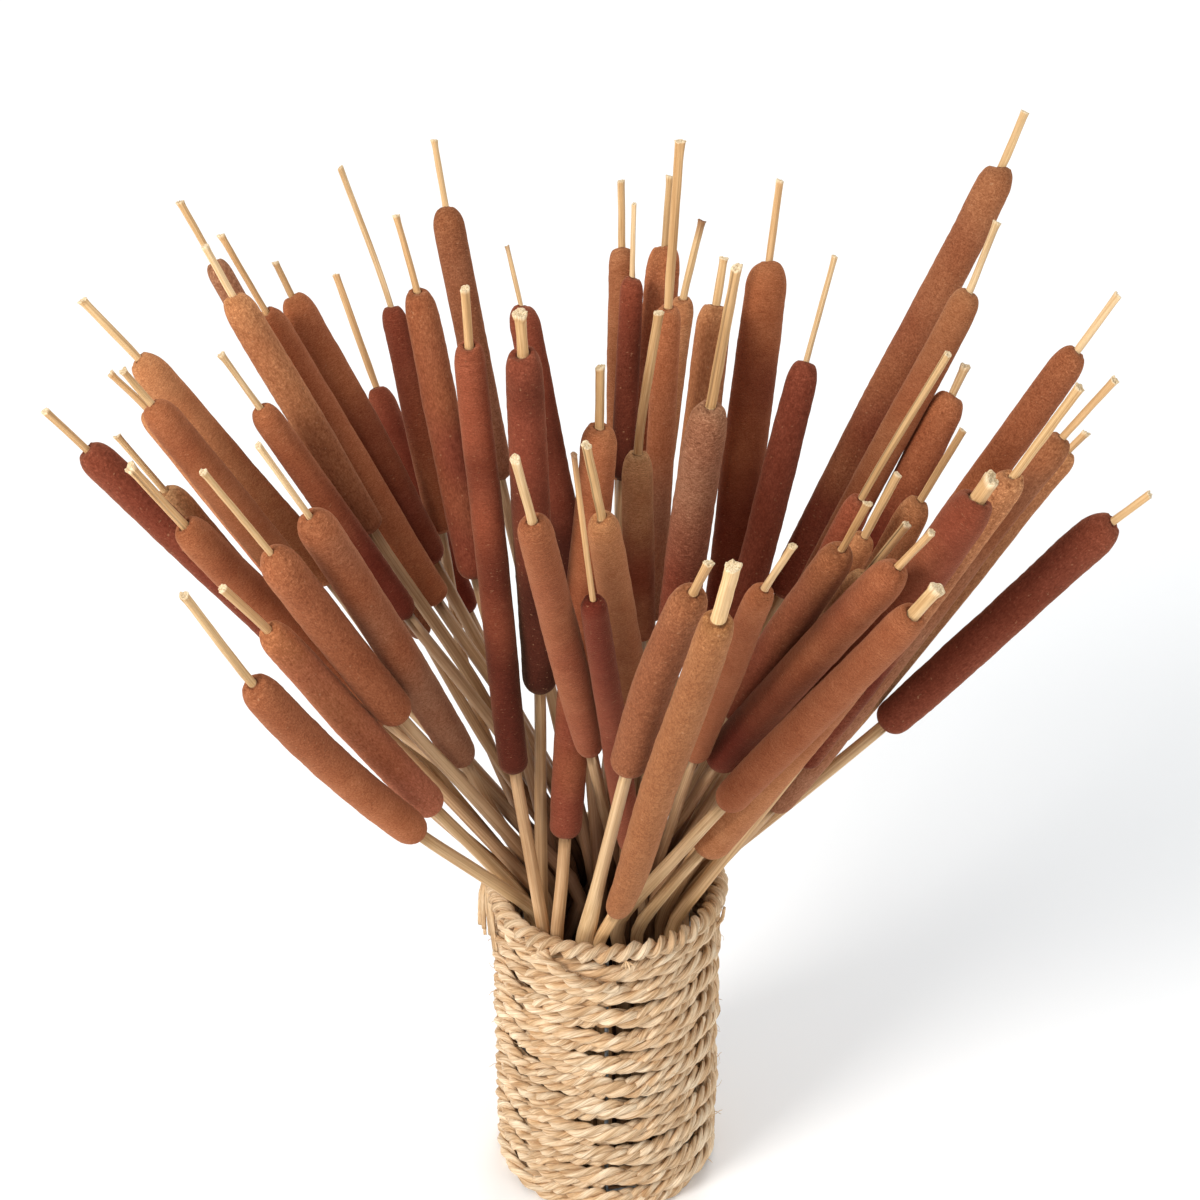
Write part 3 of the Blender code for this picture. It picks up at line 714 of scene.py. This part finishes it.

# %% [markdown]
# ## The colour of each plant
#
# The felt runs from the head's lower colour to its upper one in clouds. Painted shade
# darkens it at its two ends and in the crease round the spike, and its lip is lighter,
# partly bleached and partly a painted highlight. Painted shade also darkens the groove
# of a furrowed spike. The straw of the stems at the back is greyer, and painted shade
# browns and darkens the straw where it goes down among the others into the vase. All of
# it is kept at the points and not painted in an image, so that it stays in place when
# the plant is bent.


# %% Colour one cattail
STRAW = (paint(219, 183, 138), paint(205, 169, 126), paint(223, 191, 148),
         paint(199, 163, 124))
SPIKE_STRAW = paint(222, 188, 140), paint(212, 174, 126), paint(228, 198, 154)
SHADED_GREY_STRAW = paint(184, 156, 126)
PITH = paint(240, 222, 190)
LIP_BLEACH_AND_HIGHLIGHT = (1.30, 1.44, 1.38)
CREASE_SHADE = 0.6
FRONT_SHADE, BACK_SHADE = 0.12, 0.55
BACK_SHADE_BROWN = (0.48, 0.37, 0.34)
MOUTH_REACH = 42 * MM
NEAR_STEMS, STEMS_DEPTH = 13 * MM, 28 * MM
MOUTH_SHADE_ABOVE, MOUTH_SHADE_DEPTH = 4 * MM, 24 * MM
BACK_SHADE_ABOVE, BACK_SHADE_DEPTH = 80 * MM, 70 * MM
CLOUDS = 0.13
END_SHADE, END_SHARE = 0.16, 0.035
BACK_GREY_SHADE = 0.6
GROOVE_SHADE = 2.2
BROWN_ENDS = {22: 0.5, 24: 0.8, 34: 0.9}
CUT_BROWN = paint(134, 84, 48)


def blend(one, two, share):
    """Two colours, mixed for every point."""
    share = np.clip(share, 0, 1)[:, None]
    return one * (1 - share) + two * share


def behind_the_rim(place):
    """From 0 for a stem at the near side of the mouth to 1 for one far behind it."""
    near_side = -np.sqrt(max(MOUTH_REACH ** 2 - place.x ** 2, 0.0))
    return ramp(place.y - near_side, NEAR_STEMS, STEMS_DEPTH)


def coat_of(rows, pair, mouth, behind, number, rng):
    """The colour of every point of a cattail. Low down and at the back painted shade makes its
    stem browner, greyer and darker.
    """
    height = rows[RING, 1]
    low, high = rows[BUTT_RING, 1], rows[LIP_RING, 1]
    share = (height - low) / (high - low)
    lower, upper = pair.split()
    drift = share + CLOUDS * lumps(rng, ANGLE, height, 0.004, 0.06, 8)
    felt = blend(paint(*FELT[lower]), paint(*FELT[upper]), drift * 1.4 - 0.2)
    felt *= rng.uniform(0.93, 1.07)
    # Painted shade: the felt is darker at the head's two rounded ends.
    ends = 1 - ramp(0.5 - np.abs(share - 0.5), 0, END_SHARE)
    felt *= (1 - END_SHADE * ends)[:, None]
    # The lip is lighter towards the spike: partly bleached, partly a painted highlight where
    # the dome faces the light.
    lip = ramp(RING, DOME_RING - 9, 19)[:, None] * rng.uniform(0.3, 1.0)
    felt = felt * (1 - lip + lip * np.array(LIP_BLEACH_AND_HIGHLIGHT))
    # Painted shade in the crease where the felt dips round the spike.
    crease_shade = CREASE_SHADE * (0.6 + 0.4 * np.cos(2 * ANGLE + rng.uniform(0, 2 * pi)))
    felt *= np.where((RING > LIP_RING) & (RING < SPIKE_RING), 1 - crease_shade, 1.0)[:, None]
    straw = STRAW[rng.integers(len(STRAW))] * rng.uniform(0.88, 1.02)
    # Painted shade: stems at the back are greyer along their length.
    straw = straw * (1 - BACK_GREY_SHADE * behind) + SHADED_GREY_STRAW * BACK_GREY_SHADE * behind
    top = SPIKE_STRAW[rng.integers(len(SPIKE_STRAW))] * rng.uniform(0.92, 1.06)
    colour = np.where(IN_HEAD[:, None], felt, straw)
    colour = np.where(IN_SPIKE[:, None], top, colour)
    # Painted shade along the groove of a furrowed spike.
    colour *= (1 - min(1.0, GROOVE_SHADE * GROOVES.get(number, 0.0)) * GROOVE)[:, None]
    colour = np.where(IN_CROWN[:, None], PITH, colour)
    colour = blend(colour, CUT_BROWN, BROWN_ENDS.get(number, 0.0) * ramp(ON_SPIKE, 0.7, 0.3))
    # Painted shade darkens the stems where they go down into the mouth, more at the back.
    inside = ramp(mouth + MOUTH_SHADE_ABOVE - height, 0, MOUTH_SHADE_DEPTH)[:, None]
    mouth_shade = (FRONT_SHADE + (BACK_SHADE - FRONT_SHADE) * behind) * inside
    # Painted shade browns the back stems up to well above the mouth.
    far = behind * (ramp(mouth + BACK_SHADE_ABOVE - height, 0, BACK_SHADE_DEPTH) * IN_STEM)[:, None]
    return colour * (1 - mouth_shade) * (1 - far * (1 - np.array(BACK_SHADE_BROWN)))


print("felt colours:", len(FELT))

# %% [markdown]
# ## Bend and dress them
#
# Only now is each plant bent. A chain of bones could do it, but a curve modifier needs
# no more than the nine places that the solid gives, and is applied at once. Felt, straw
# and the pith of the cut are told apart by ring, once, on the straight cattail, and its
# copies inherit that.


# %% Bend each cattail along its curve
PLANT_SEED = 700
SLENDER_SPIKE = 0.88
LONG_BUTTS = {37: 9 * MM, 38: 7 * MM}


def bend_curve(path, name):
    bpy.ops.curve.primitive_bezier_curve_add(location=(0, 0, 0))
    curve = bpy.context.object
    curve.name = name
    spline = curve.data.splines[0]
    spline.bezier_points.add(len(path) - len(spline.bezier_points))
    for point, (knot, arrive, leave) in zip(spline.bezier_points, path):
        point.handle_left_type = point.handle_right_type = "FREE"
        point.co, point.handle_left, point.handle_right = knot, arrive, leave
    curve.data.dimensions = "3D"
    curve.data.twist_mode = "MINIMUM"
    curve.data.resolution_u = STEPS
    return curve


def bend(thing, curve, axis="POS_Z"):
    """Bend a straight piece along a curve, which is then thrown away."""
    pick(thing)
    bpy.ops.object.modifier_add(type="CURVE")
    thing.modifiers[-1].object = curve
    thing.modifiers[-1].deform_axis = axis
    apply_modifiers(thing)
    bpy.data.objects.remove(curve)


def grow(node, pair):
    number = int(node[-2:])
    rng = default_rng(PLANT_SEED + number)
    middles, radii = solids[node]
    path = bend_path(middles)
    along = (path[NECK_POINT][0] - path[BUTT_POINT][0]).normalized()
    toward = max(0.0, -along.y)
    slender = 1.0 if number in FLARES else SLENDER_SPIKE
    girths = radii[STEM_AT], radii[HEAD_AT], radii[SPIKE_AT] * slender
    lift = radii[HEAD_AT] * toward - LONG_BUTTS.get(number, 0.0)
    rows = outline(*girths, path_length(path, 0, BUTT_POINT) + lift,
                   path_length(path, BUTT_POINT, NECK_POINT) - lift,
                   path_length(path, NECK_POINT, len(path) - 1),
                   rng.uniform(1.15, 1.75), rng.uniform(-0.50, 0.35),
                   rng.uniform(0.65, 1.2) + 0.5 * toward)
    plant = copied(straight_cattail, "dried_" + node)
    straight = shape_straight(rows, girths, number, rng)
    move_points(plant, straight)
    keep(plant, "grain", straight * (1, 1, rng.choice((0.45, 0.8, 1.6)))
         + rng.uniform(-1, 1, 3))
    rough_at_neck = ramp(RING, DOME_RING - 12, 16) * 0.35
    keep(plant, "nap", rough_at_neck + ROUGH_NAP.get(number, rng.uniform(0.15, 0.40)))
    keep(plant, "coat", coat_of(
        rows, pair, path_length(path, 0, MOUTH_POINT),
        behind_the_rim(path[MOUTH_POINT][0]), number, rng))
    bend(plant, bend_curve(path, "bend_" + node))
    return plant


for finish in (straw_finish, felt_finish, pith_finish):
    straight_cattail.data.materials.append(finish)
face_ring = np.array([min(face.vertices) // SIDES for face in straight_cattail.data.polygons])
felted = (face_ring >= BUTT_RING) & (face_ring < SPIKE_RING)
face_finish = felted + 2 * (face_ring >= CROWN_RING)
straight_cattail.data.polygons.foreach_set("material_index", face_finish.astype(np.int32))

plants = [grow(node, pair) for node, pair in zip(CATTAILS, HEAD_COLOURS_AND_SHADE)]
bpy.data.objects.remove(straight_cattail)
print(len(plants), "cattails of", triangles(plants[0]), "triangles")

# %% [markdown]
# ## Seagrass
#
# Dry seagrass is straw-coloured, with browner and bleached blades side by side and a
# stain here and there. Its streaks could come from an image that is wrapped round each
# cord. Noise that is drawn out along the grain follows every ply without a seam.

# %% Make the seagrass
def make_seagrass():
    grass = Nodes("seagrass")
    grain = grass.attribute("grain")
    blades = grass.noise(grass.stretched(grain, (0.05, 1.0, 1.0)), 1000.0, 3.0, 0.6)
    threads = grass.noise(grass.stretched(grain, (0.03, 1.0, 1.0)), 2600.0, 2.0, 0.6)
    stains = grass.noise(grain, 110.0, 3.0, 0.6)
    colour = grass.attribute("coat", "Color")
    colour = grass.tint(colour, blades, 0.32, 0.58,
                        (0.66, 0.55, 0.44), (1.14, 1.15, 1.16))
    colour = grass.tint(colour, threads, 0.30, 0.60,
                        (0.82, 0.75, 0.69), (1.10, 1.10, 1.10))
    colour = grass.tint(colour, stains, 0.38, 0.72,
                        (1.05, 1.04, 1.03), (0.88, 0.76, 0.64))
    grass.bump(grass.heights(blades, (threads, 0.5)), 0.6 * MM, 1.0)
    return grass.coated(colour, Roughness=0.62, Specular_IOR_Level=0.3)


seagrass = make_seagrass()
print("made", seagrass.name)

# %% [markdown]
# ## The cord of the vase
#
# The vase is seagrass. Its dried blades are twisted into a ply, and two or three plies
# are twisted round each other into a cord. So a cord is made here as it is on the rope
# walk: one ply section with a lobe for each bundle of blades, an array of it as long as
# the cord, the other plies beside it, and a twist. The twist is a Simple Deform modifier.
# The straight cord is then laid along a closed curve, and its two ends are merged. For
# that, everything uneven about a ply comes to the same at both its ends.

# %% Twist a straight cord
PLY_SIDES = 18
BLADE_TWIST = 25
EVEN_ENDS = 24
UNEVEN_TWIST = 0.12
DARK_GRASS, PALE_GRASS = paint(206, 177, 140), paint(230, 212, 184)


def straight_ply(name, rings):
    """One plain round ply along X, one metre long and one metre in radius."""
    bpy.ops.mesh.primitive_circle_add(
        vertices=PLY_SIDES, radius=1.0, rotation=(0, pi / 2, 0), fill_type="NOTHING")
    ply = bpy.context.object
    ply.name = name
    pick(ply)
    bpy.ops.object.transform_apply(location=True, rotation=True, scale=True)
    edit(ply)
    bpy.ops.mesh.extrude_region_move(TRANSFORM_OT_translate={"value": (1 / rings, 0, 0)})
    bpy.ops.object.mode_set(mode="OBJECT")
    bpy.ops.object.modifier_add(type="ARRAY")
    array = ply.modifiers[-1]
    array.count = rings
    array.use_relative_offset = False
    array.use_constant_offset = True
    array.constant_offset_displace = (1 / rings, 0, 0)
    array.use_merge_vertices = True
    array.merge_threshold = 0.1 / rings
    apply_modifiers(ply)
    ply.data.shade_smooth()
    ply.data.materials.append(seagrass)
    return ply


def twisted_cord(name, ply, length, thick, apart, turns, rng, wander_size=0.03, count=2):
    """A straight cord along X, of so many plies, with their blades, lumps and colours."""
    plies = []
    for number in range(count):
        strand = copied(ply, name + "_ply_%d" % number)
        share, across, upward = points_of(strand).T
        along, angle = share * length, np.arctan2(upward, across)
        blades = rng.integers(4, 6)
        laps = round(blades * length * rng.uniform(-BLADE_TWIST, BLADE_TWIST) / (2 * pi))
        lobes = 0.13 * np.abs(np.cos(blades * angle / 2 + pi * laps * share
                                     + rng.uniform(0, pi))) - 0.06
        bulge = 0.08 * lumps(rng, angle, along, 0, wander_size, 8)
        rough = 0.045 * lumps(rng, angle, along, thick, 0.005, 20)
        closing = np.sin(np.clip(np.minimum(share, 1 - share) * EVEN_ENDS, 0, 1) * pi / 2)
        radius = thick * (1 + lobes + (bulge + rough) * closing)
        points = np.stack([along, radius * np.cos(angle), radius * np.sin(angle)], axis=1)
        grain = np.column_stack([np.abs(along - length / 2), points[:, 1:]])
        keep(strand, "grain", grain + rng.uniform(-1, 1, 3))
        shade = 0.5 + 0.4 * closing * lumps(rng, angle, along, thick, 0.02, 10)
        keep(strand, "coat", blend(DARK_GRASS, PALE_GRASS, shade) * rng.uniform(0.90, 1.05))
        points[:, 1] += apart * cos(2 * pi * number / count)
        points[:, 2] += apart * sin(2 * pi * number / count)
        move_points(strand, points)
        plies.append(strand)
    cord = joined(plies, name)
    bpy.ops.object.modifier_add(type="SIMPLE_DEFORM")
    twist = cord.modifiers[-1]
    twist.deform_method = "TWIST"
    twist.deform_axis = "X"
    twist.angle = 2 * pi * turns
    apply_modifiers(cord)
    points = points_of(cord)
    share = points[:, 0] / length
    for waves in (3, 7, 11):
        points[:, 0] += (rng.uniform(0.5, 1) * UNEVEN_TWIST * length / (2 * pi * waves)
                         * np.sin(2 * pi * waves * share + pi * rng.integers(0, 2)))
    move_points(cord, points)
    return cord


def curve_through(name, places, closed):
    """A curve through many places, for a cord to lie along."""
    data = bpy.data.curves.new(name, "CURVE")
    data.dimensions = "3D"
    data.twist_mode = "Z_UP"
    spline = data.splines.new("POLY")
    spline.points.add(len(places) - 1)
    spline.points.foreach_set(
        "co", np.column_stack([places, np.ones(len(places))]).ravel())
    spline.use_cyclic_u = closed
    curve = bpy.data.objects.new(name, data)
    bpy.context.scene.collection.objects.link(curve)
    return curve


def lay(cord, places, closed):
    """Bend a straight cord along a curve, and merge its two ends or cap them."""
    bend(cord, curve_through(cord.name + "_path", places, closed), "POS_X")
    edit(cord, "DESELECT")
    bpy.ops.mesh.select_non_manifold()
    if closed:
        bpy.ops.mesh.remove_doubles(threshold=0.02 * MM)
    else:
        bpy.ops.mesh.edge_face_add()
    face_outward()


def round_the_axis(reach, turn, height):
    """Points given by their distance from the axis, azimuth and height."""
    return np.column_stack([reach * np.cos(turn), reach * np.sin(turn),
                            np.broadcast_to(height, np.shape(turn))])


def strides(places):
    """The distance from each place to the next."""
    return np.linalg.norm(np.diff(places, axis=0), axis=1)


def loop_length(places):
    return np.linalg.norm(places - np.roll(places, 1, axis=0), axis=1).sum()


ply = straight_ply("seagrass_ply", 230)
print("ply:", len(ply.data.vertices), "points")

# %% [markdown]
# ## Twine the wall
#
# Two cords run round the wires together. At every wire one passes outside and the other
# inside, and between two wires they change places by half a turn round each other, so at
# the wires eye-shaped gaps stay open between the courses. Each course is one piece: a
# pair of cords.

# %% Lay the courses
COURSES = 11
WIRES = 6
FIRST_WIRE = pi / WIRES
WALL_MIDDLE = 44.4 * MM
IN_AND_OUT = 1.2 * MM
UP_AND_DOWN = 2.7 * MM
BESIDE = 1.6 * MM
PLIES = 3
PLY_THICK = 1.56 * MM
PLY_APART = 1.72 * MM
TURN_LENGTH = 24 * MM
PATH_POINTS = 360
PRESSED_WIDTH = 10 * MM
TOP_DIP, TOP_DIP_WIDTH = 2.2 * MM, radians(15)
AZIMUTHS = pi / 2 + 2 * pi * np.arange(PATH_POINTS) / PATH_POINTS
COURSE_SEED, OWN_SEED, PRESS_SEED, TWIST_SEED = 300, 330, 500, 940

wall_low, wall_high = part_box("vase_wall")
PITCH = (wall_high.z - wall_low.z) / COURSES


def course_path(turn, number, parity):
    """Distance from the axis and height of a cord's middle at each azimuth."""
    rng = default_rng(COURSE_SEED + number)
    level = wall_low.z + PITCH * (number + 0.5)
    phase = WIRES / 2 * (turn - FIRST_WIRE) + pi * (parity + number)
    inset = min(number, 1, COURSES - 1 - number)
    reach = (WALL_MIDDLE + IN_AND_OUT * np.cos(phase)
             + 0.4 * MM * np.cos(4 * turn + rng.uniform(0, 2 * pi)))
    sway = sum(rng.uniform(-0.45, 0.45) * np.cos(k * turn + rng.uniform(0, 2 * pi))
               for k in (2, 3, 5, 7))
    own = default_rng(OWN_SEED + 2 * number + parity)
    wobble = sum(own.uniform(-0.3, 0.3) * np.cos(k * turn + own.uniform(0, 2 * pi))
                 for k in (5, 8, 11))
    height = (level - UP_AND_DOWN * np.sin(phase) + BESIDE * np.cos(phase)
              + (sway + wobble) * inset * MM)
    if number == COURSES - 1:
        height -= TOP_DIP * np.exp(-(from_front(turn) / TOP_DIP_WIDTH) ** 2)
    return reach, height


def press_at_wires(cord, number, parity):
    """Flatten a cord where it is squeezed against a wire."""
    rng = default_rng(PRESS_SEED + number)
    amounts = rng.uniform(0.20, 0.65, WIRES)
    points = points_of(cord)
    turn = np.arctan2(points[:, 1], points[:, 0])
    reach, height = course_path(turn, number, parity)
    out = np.hypot(points[:, 0], points[:, 1]) - reach
    rise = points[:, 2] - height
    gap = 2 * pi / WIRES
    nearest = np.rint((turn - FIRST_WIRE) / gap).astype(int)
    from_wire = (turn - FIRST_WIRE - nearest * gap) * WALL_MIDDLE
    squeeze = amounts[nearest % WIRES] * np.exp(-(from_wire / PRESSED_WIDTH) ** 2)
    out *= 1 - 0.6 * squeeze
    rise *= 1 + squeeze
    move_points(cord, round_the_axis(reach + out, turn, np.maximum(height + rise, 0.0)))


def twine_course(number):
    pair = []
    for parity in (0, 1):
        rng = default_rng(TWIST_SEED + 2 * number + parity)
        reach, height = course_path(AZIMUTHS, number, parity)
        places = round_the_axis(reach, AZIMUTHS, height)
        length = loop_length(places)
        turns = -(round(length / TURN_LENGTH) + int(rng.integers(-1, 2)))
        cord = twisted_cord("cord_%d_%d" % (number, parity), ply, length,
                            PLY_THICK * rng.uniform(0.96, 1.06), PLY_APART, turns, rng,
                            count=PLIES)
        lay(cord, places, True)
        press_at_wires(cord, number, parity)
        pair.append(cord)
    return joined(pair, "wall_course_%02d" % (number + 1))


courses = [twine_course(number) for number in range(COURSES)]
print(len(courses), "courses of", triangles(courses[0]), "triangles")

# %% [markdown]
# ## Lay the rope round the rim
#
# The rim is finished with a thicker and tighter rope of two plies that lies on the top
# course. It is made as the cords of the wall are, on one level circle.

# %% Lay the rim rope
RIM_PLY = 2.25 * MM
RIM_APART = 1.9 * MM
RIM_TURN_LENGTH = 12.5 * MM
RIM_REACH = 46.0 * MM
RIM_SEED = 77

rope_ply = straight_ply("rope_ply", 340)
wave = 0.25 * MM * np.cos(5 * AZIMUTHS + 1.0) + 0.2 * MM * np.cos(9 * AZIMUTHS)
rope_places = round_the_axis(RIM_REACH, AZIMUTHS, (rim_low.z + rim_high.z) / 2 + wave)
rope_length = loop_length(rope_places)
rim_rope = twisted_cord("rim_rope_twisted", rope_ply, rope_length, RIM_PLY, RIM_APART,
                        -round(rope_length / RIM_TURN_LENGTH),
                        default_rng(RIM_SEED), wander_size=0.012)
lay(rim_rope, rope_places, True)
print("rim rope:", triangles(rim_rope), "triangles")

# %% [markdown]
# ## Loose ends
#
# Nothing woven by hand is quite tidy. On the left a few flat blades have come out of the
# rim rope and hang down, the rope's cut end stands out like a small knob on the right,
# and fine fibres stick out of the cords all round. Hair could make the fibres, but only
# a mesh can be handed over. So a blade or a fibre is a flattened stalk whose middle is
# laid along a smooth path and whose flat side is turned outward.

# %% Lay the blades
BLADE_SIDES, BLADE_RINGS = 8, 14
FIBRE_SIDES, FIBRE_RINGS = 4, 7
FIBRES = 70
BLADE_SEED, FIBRE_SEED = 80, 1200
BLADE_COLOUR = paint(222, 194, 156)


def on_the_vase(degrees, reach, height):
    """A place given by its azimuth, its distance from the axis and its height, in mm."""
    azimuth = radians(degrees)
    return Vector((reach * cos(azimuth), reach * sin(azimuth), height)) * MM


def directions(vectors):
    return vectors / np.linalg.norm(vectors, axis=1)[:, None]


def smooth_places(knots):
    path = smooth_path(knots)
    places = [place for one, two in zip(path, path[1:])
              for place in interpolate_bezier(one[0], one[2], two[1], two[0], 12)[:-1]]
    return np.array(places + [path[-1][0]])


def lay_blade(name, knots, wide, thick, rng, facing=None, blunt=0.25,
              sides=BLADE_SIDES, rings=BLADE_RINGS):
    """A flattened stalk along a path. Its flat side faces outward, or the way it is told."""
    places = smooth_places(knots)
    reached = np.insert(np.cumsum(strides(places)), 0, 0.0)
    shares = np.linspace(0, 1, rings)
    girth = wide / 2 * (1 - (1 - blunt) * shares ** 4) * (1 + 0.10 * rng.uniform(-1, 1, rings))
    blade = extrude_rings(name, np.column_stack([girth, shares * reached[-1]]), sides)
    straight = points_of(blade)
    middle, slope = [
        np.column_stack([np.interp(straight[:, 2], reached, track[:, axis])
                         for axis in range(3)])
        for track in (places, np.gradient(places, axis=0))]
    slope = directions(slope)
    outward = middle * (1, 1, 0) if facing is None else np.tile(facing, (len(middle), 1))
    side = directions(np.cross(slope, directions(outward)))
    outward = np.cross(side, slope)
    fold = thick * 0.5 * (straight[:, 0:1] / wide) ** 2
    move_points(blade, middle + side * straight[:, 0:1]
                + outward * (straight[:, 1:2] * thick / wide - fold))
    edit(blade)
    face_outward()
    keep(blade, "grain", straight[:, (2, 0, 1)] + rng.uniform(-1, 1, 3))
    keep(blade, "coat", np.tile(BLADE_COLOUR * rng.uniform(0.80, 1.05),
                                (len(straight), 1)))
    blade.data.materials.append(seagrass)
    return blade


rng = default_rng(BLADE_SEED)
TO_FRONT = (-0.35, -1.0, 0.3)
hanging = (
    ((181.5, 50.6, 143.0), (182, 51.8, 138), (182.5, 52.4, 130), (183, 52.8, 121.5), 2.6),
    ((184, 50.4, 143.0), (184.5, 51.2, 138), (185, 51.2, 130), (185.5, 51.4, 121.0), 2.2),
    ((182.5, 51.0, 131.0), (183, 51.1, 126), (183, 51.0, 121), (183.5, 50.9, 116.5), 1.7),
    ((185, 49.0, 142.5), (187, 49.4, 137), (189, 49.2, 130), (191, 48.8, 121), 3.0),
    ((192, 49.0, 139.0), (193, 48.8, 131), (194, 48.4, 123), (195, 47.8, 115.0), 2.8))
blades = [
    lay_blade("hanging_blade_%d" % number, [on_the_vase(*knot) for knot in row[:4]],
              row[4] * MM, 0.5 * MM, rng, TO_FRONT, 0.8)
    for number, row in enumerate(hanging)]
blades.append(lay_blade(
    "cut_end", [on_the_vase(343, 47.0, 129), on_the_vase(344, 49.4, 133),
                on_the_vase(345, 50.2, 138.5)], 2.4 * MM, 1.6 * MM, rng, blunt=0.8))
for number, (turn, drop) in enumerate(((276, 1.8), (278.5, 3.2), (280.5, 2.8), (283, 1.2))):
    blades.append(lay_blade(
        "frayed_%d" % number,
        [on_the_vase(279, 49.4, 139), on_the_vase((turn + 279) / 2, 50.8, 138.5),
         on_the_vase(turn, 51.8, 139 - drop)], 0.9 * MM, 0.4 * MM, rng))


def lay_fibre(number):
    """One stray fibre that comes out of a cord and curls."""
    rng = default_rng(FIBRE_SEED + number)
    turn, level = rng.uniform(0, 360), rng.uniform(4, 143)
    reach = 49.5 if level > 135 else 47.5
    length = rng.uniform(4, 12)
    swing, rise = rng.uniform(-1, 1, 2) * length
    steps = ((0.0, -1.0), (0.35, 1.3), (0.7, 2.0), (1.0, rng.uniform(1.2, 4.0)))
    knots = [on_the_vase(turn + swing * share * 1.2, reach + out,
                         max(level + rise * share * 0.6, 0.8))
             for share, out in steps]
    return lay_blade("fibre_%d" % number, knots, rng.uniform(0.22, 0.5) * MM, 0.2 * MM, rng,
                     sides=FIBRE_SIDES, rings=FIBRE_RINGS)


fibres = [lay_fibre(number) for number in range(FIBRES)]
print(len(blades), "blades,", len(fibres), "fibres")

# %% [markdown]
# ## The tucked strand
#
# At the front a strand leaves the rim rope and is tucked under the second course. The
# rope itself could be split there. A short, thinner cord is simpler, and its two capped
# ends are hidden in the weave.

# %% Lay the strand that leaves the rope
STRAND_PLY = 1.45 * MM
STRAND_APART = 1.3 * MM
STRAND_TIGHTER = 1.4
STRAND_SEED = 81

strand_places = smooth_places([
    on_the_vase(232, 45.5, 139), on_the_vase(240, 50.0, 137), on_the_vase(248, 51.8, 133.5),
    on_the_vase(257, 51.6, 129.5), on_the_vase(266, 50.0, 126.5), on_the_vase(275, 46.5, 124)])
strand_length = strides(strand_places).sum()
strand_ply = straight_ply("strand_ply", 48)
strand = twisted_cord("tucked_strand", strand_ply, strand_length, STRAND_PLY, STRAND_APART,
                      -strand_length / TURN_LENGTH * STRAND_TIGHTER,
                      default_rng(STRAND_SEED))
bpy.data.objects.remove(strand_ply)
lay(strand, strand_places, False)
rim_ends = joined([strand] + blades, "rim_loose_ends")
stray_fibres = joined(fibres, "stray_fibres")
print("loose ends:", triangles(rim_ends), "and", triangles(stray_fibres), "triangles")

# %% [markdown]
# ## Coil the bottom
#
# The bottom isn't seen in the photograph. Here it is a flat coil of thin two-ply cord,
# as such baskets have, pressed level where it stands. It could be twined like the wall,
# but one coil is the plainest guess.

# %% Coil the base
base_low, base_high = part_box("vase_base")
BASE_REACH = base_high.x
COIL_PITCH = 4.9 * MM
COIL_START = 2.6 * MM
BASE_PLY = 1.55 * MM
BASE_APART = 1.15 * MM
BASE_TURN_LENGTH = 17 * MM
COIL_POINTS = 900
BASE_SEED = 78

coil_turns = (BASE_REACH - COIL_PITCH / 2 - COIL_START) / COIL_PITCH
coil_angle = np.linspace(0, 2 * pi * coil_turns, COIL_POINTS)
coil_reach = COIL_START + COIL_PITCH * coil_angle / (2 * pi)
coil_places = round_the_axis(coil_reach, coil_angle, (base_low.z + base_high.z) / 2)
coil_length = strides(coil_places).sum()
base_ply = straight_ply("base_ply", 620)
base_coil = twisted_cord("base_coil", base_ply, coil_length, BASE_PLY, BASE_APART,
                         round(coil_length / BASE_TURN_LENGTH),
                         default_rng(BASE_SEED))
lay(base_coil, coil_places, False)
points = points_of(base_coil)
points[:, 2] = np.clip(points[:, 2], base_low.z, base_high.z)
move_points(base_coil, points)
for spare in (ply, rope_ply, base_ply):
    bpy.data.objects.remove(spare)
print("base coil:", triangles(base_coil), "triangles")

# %% [markdown]
# ## The wires
#
# The cords are twined round six steel wires with a blue-grey, slightly dull coat, which
# show in the gaps of the weave. A wire is a plain bent rod, so they keep their packed
# solids and only get the coat.

# %% Coat the wires
def make_wire():
    wire = Nodes("coated_wire")
    place = wire.add("ShaderNodeTexCoord", {})["Object"]
    wear = wire.noise(place, 600.0, 3.0, 0.6)
    colour = wire.mix(wire.spread(wear, 0.35, 0.65), (0.26, 0.31, 0.35, 1),
                      (0.46, 0.52, 0.56, 1))
    wire.bump(wear, 0.1 * MM, 0.5)
    return wire.coated(colour, Roughness=0.45, Metallic=0.3)


frame["nodes"]["wire_frame"].data.materials.clear()
frame["nodes"]["wire_frame"].data.materials.append(make_wire())
print("wires coated")

# %% [markdown]
# ## Attach the pieces
#
# Each piece is told what body it moves with and which imported solid it takes the place
# of. Nothing here moves, so all of it rides on the root.

# %% Attach the pieces
for plant, node in zip(plants, CATTAILS):
    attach(plant, "root")
    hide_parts(node)
for course in courses:
    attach(course, "root")
    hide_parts("vase_wall")
for piece, node, name in ((rim_rope, "rim_rope", "rim_cord"),
                          (rim_ends, "rim_rope", "rim_cord"),
                          (stray_fibres, "vase_wall", "seagrass_cord"),
                          (base_coil, "vase_base", "base_cord")):
    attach(piece, "root")
    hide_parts(node)
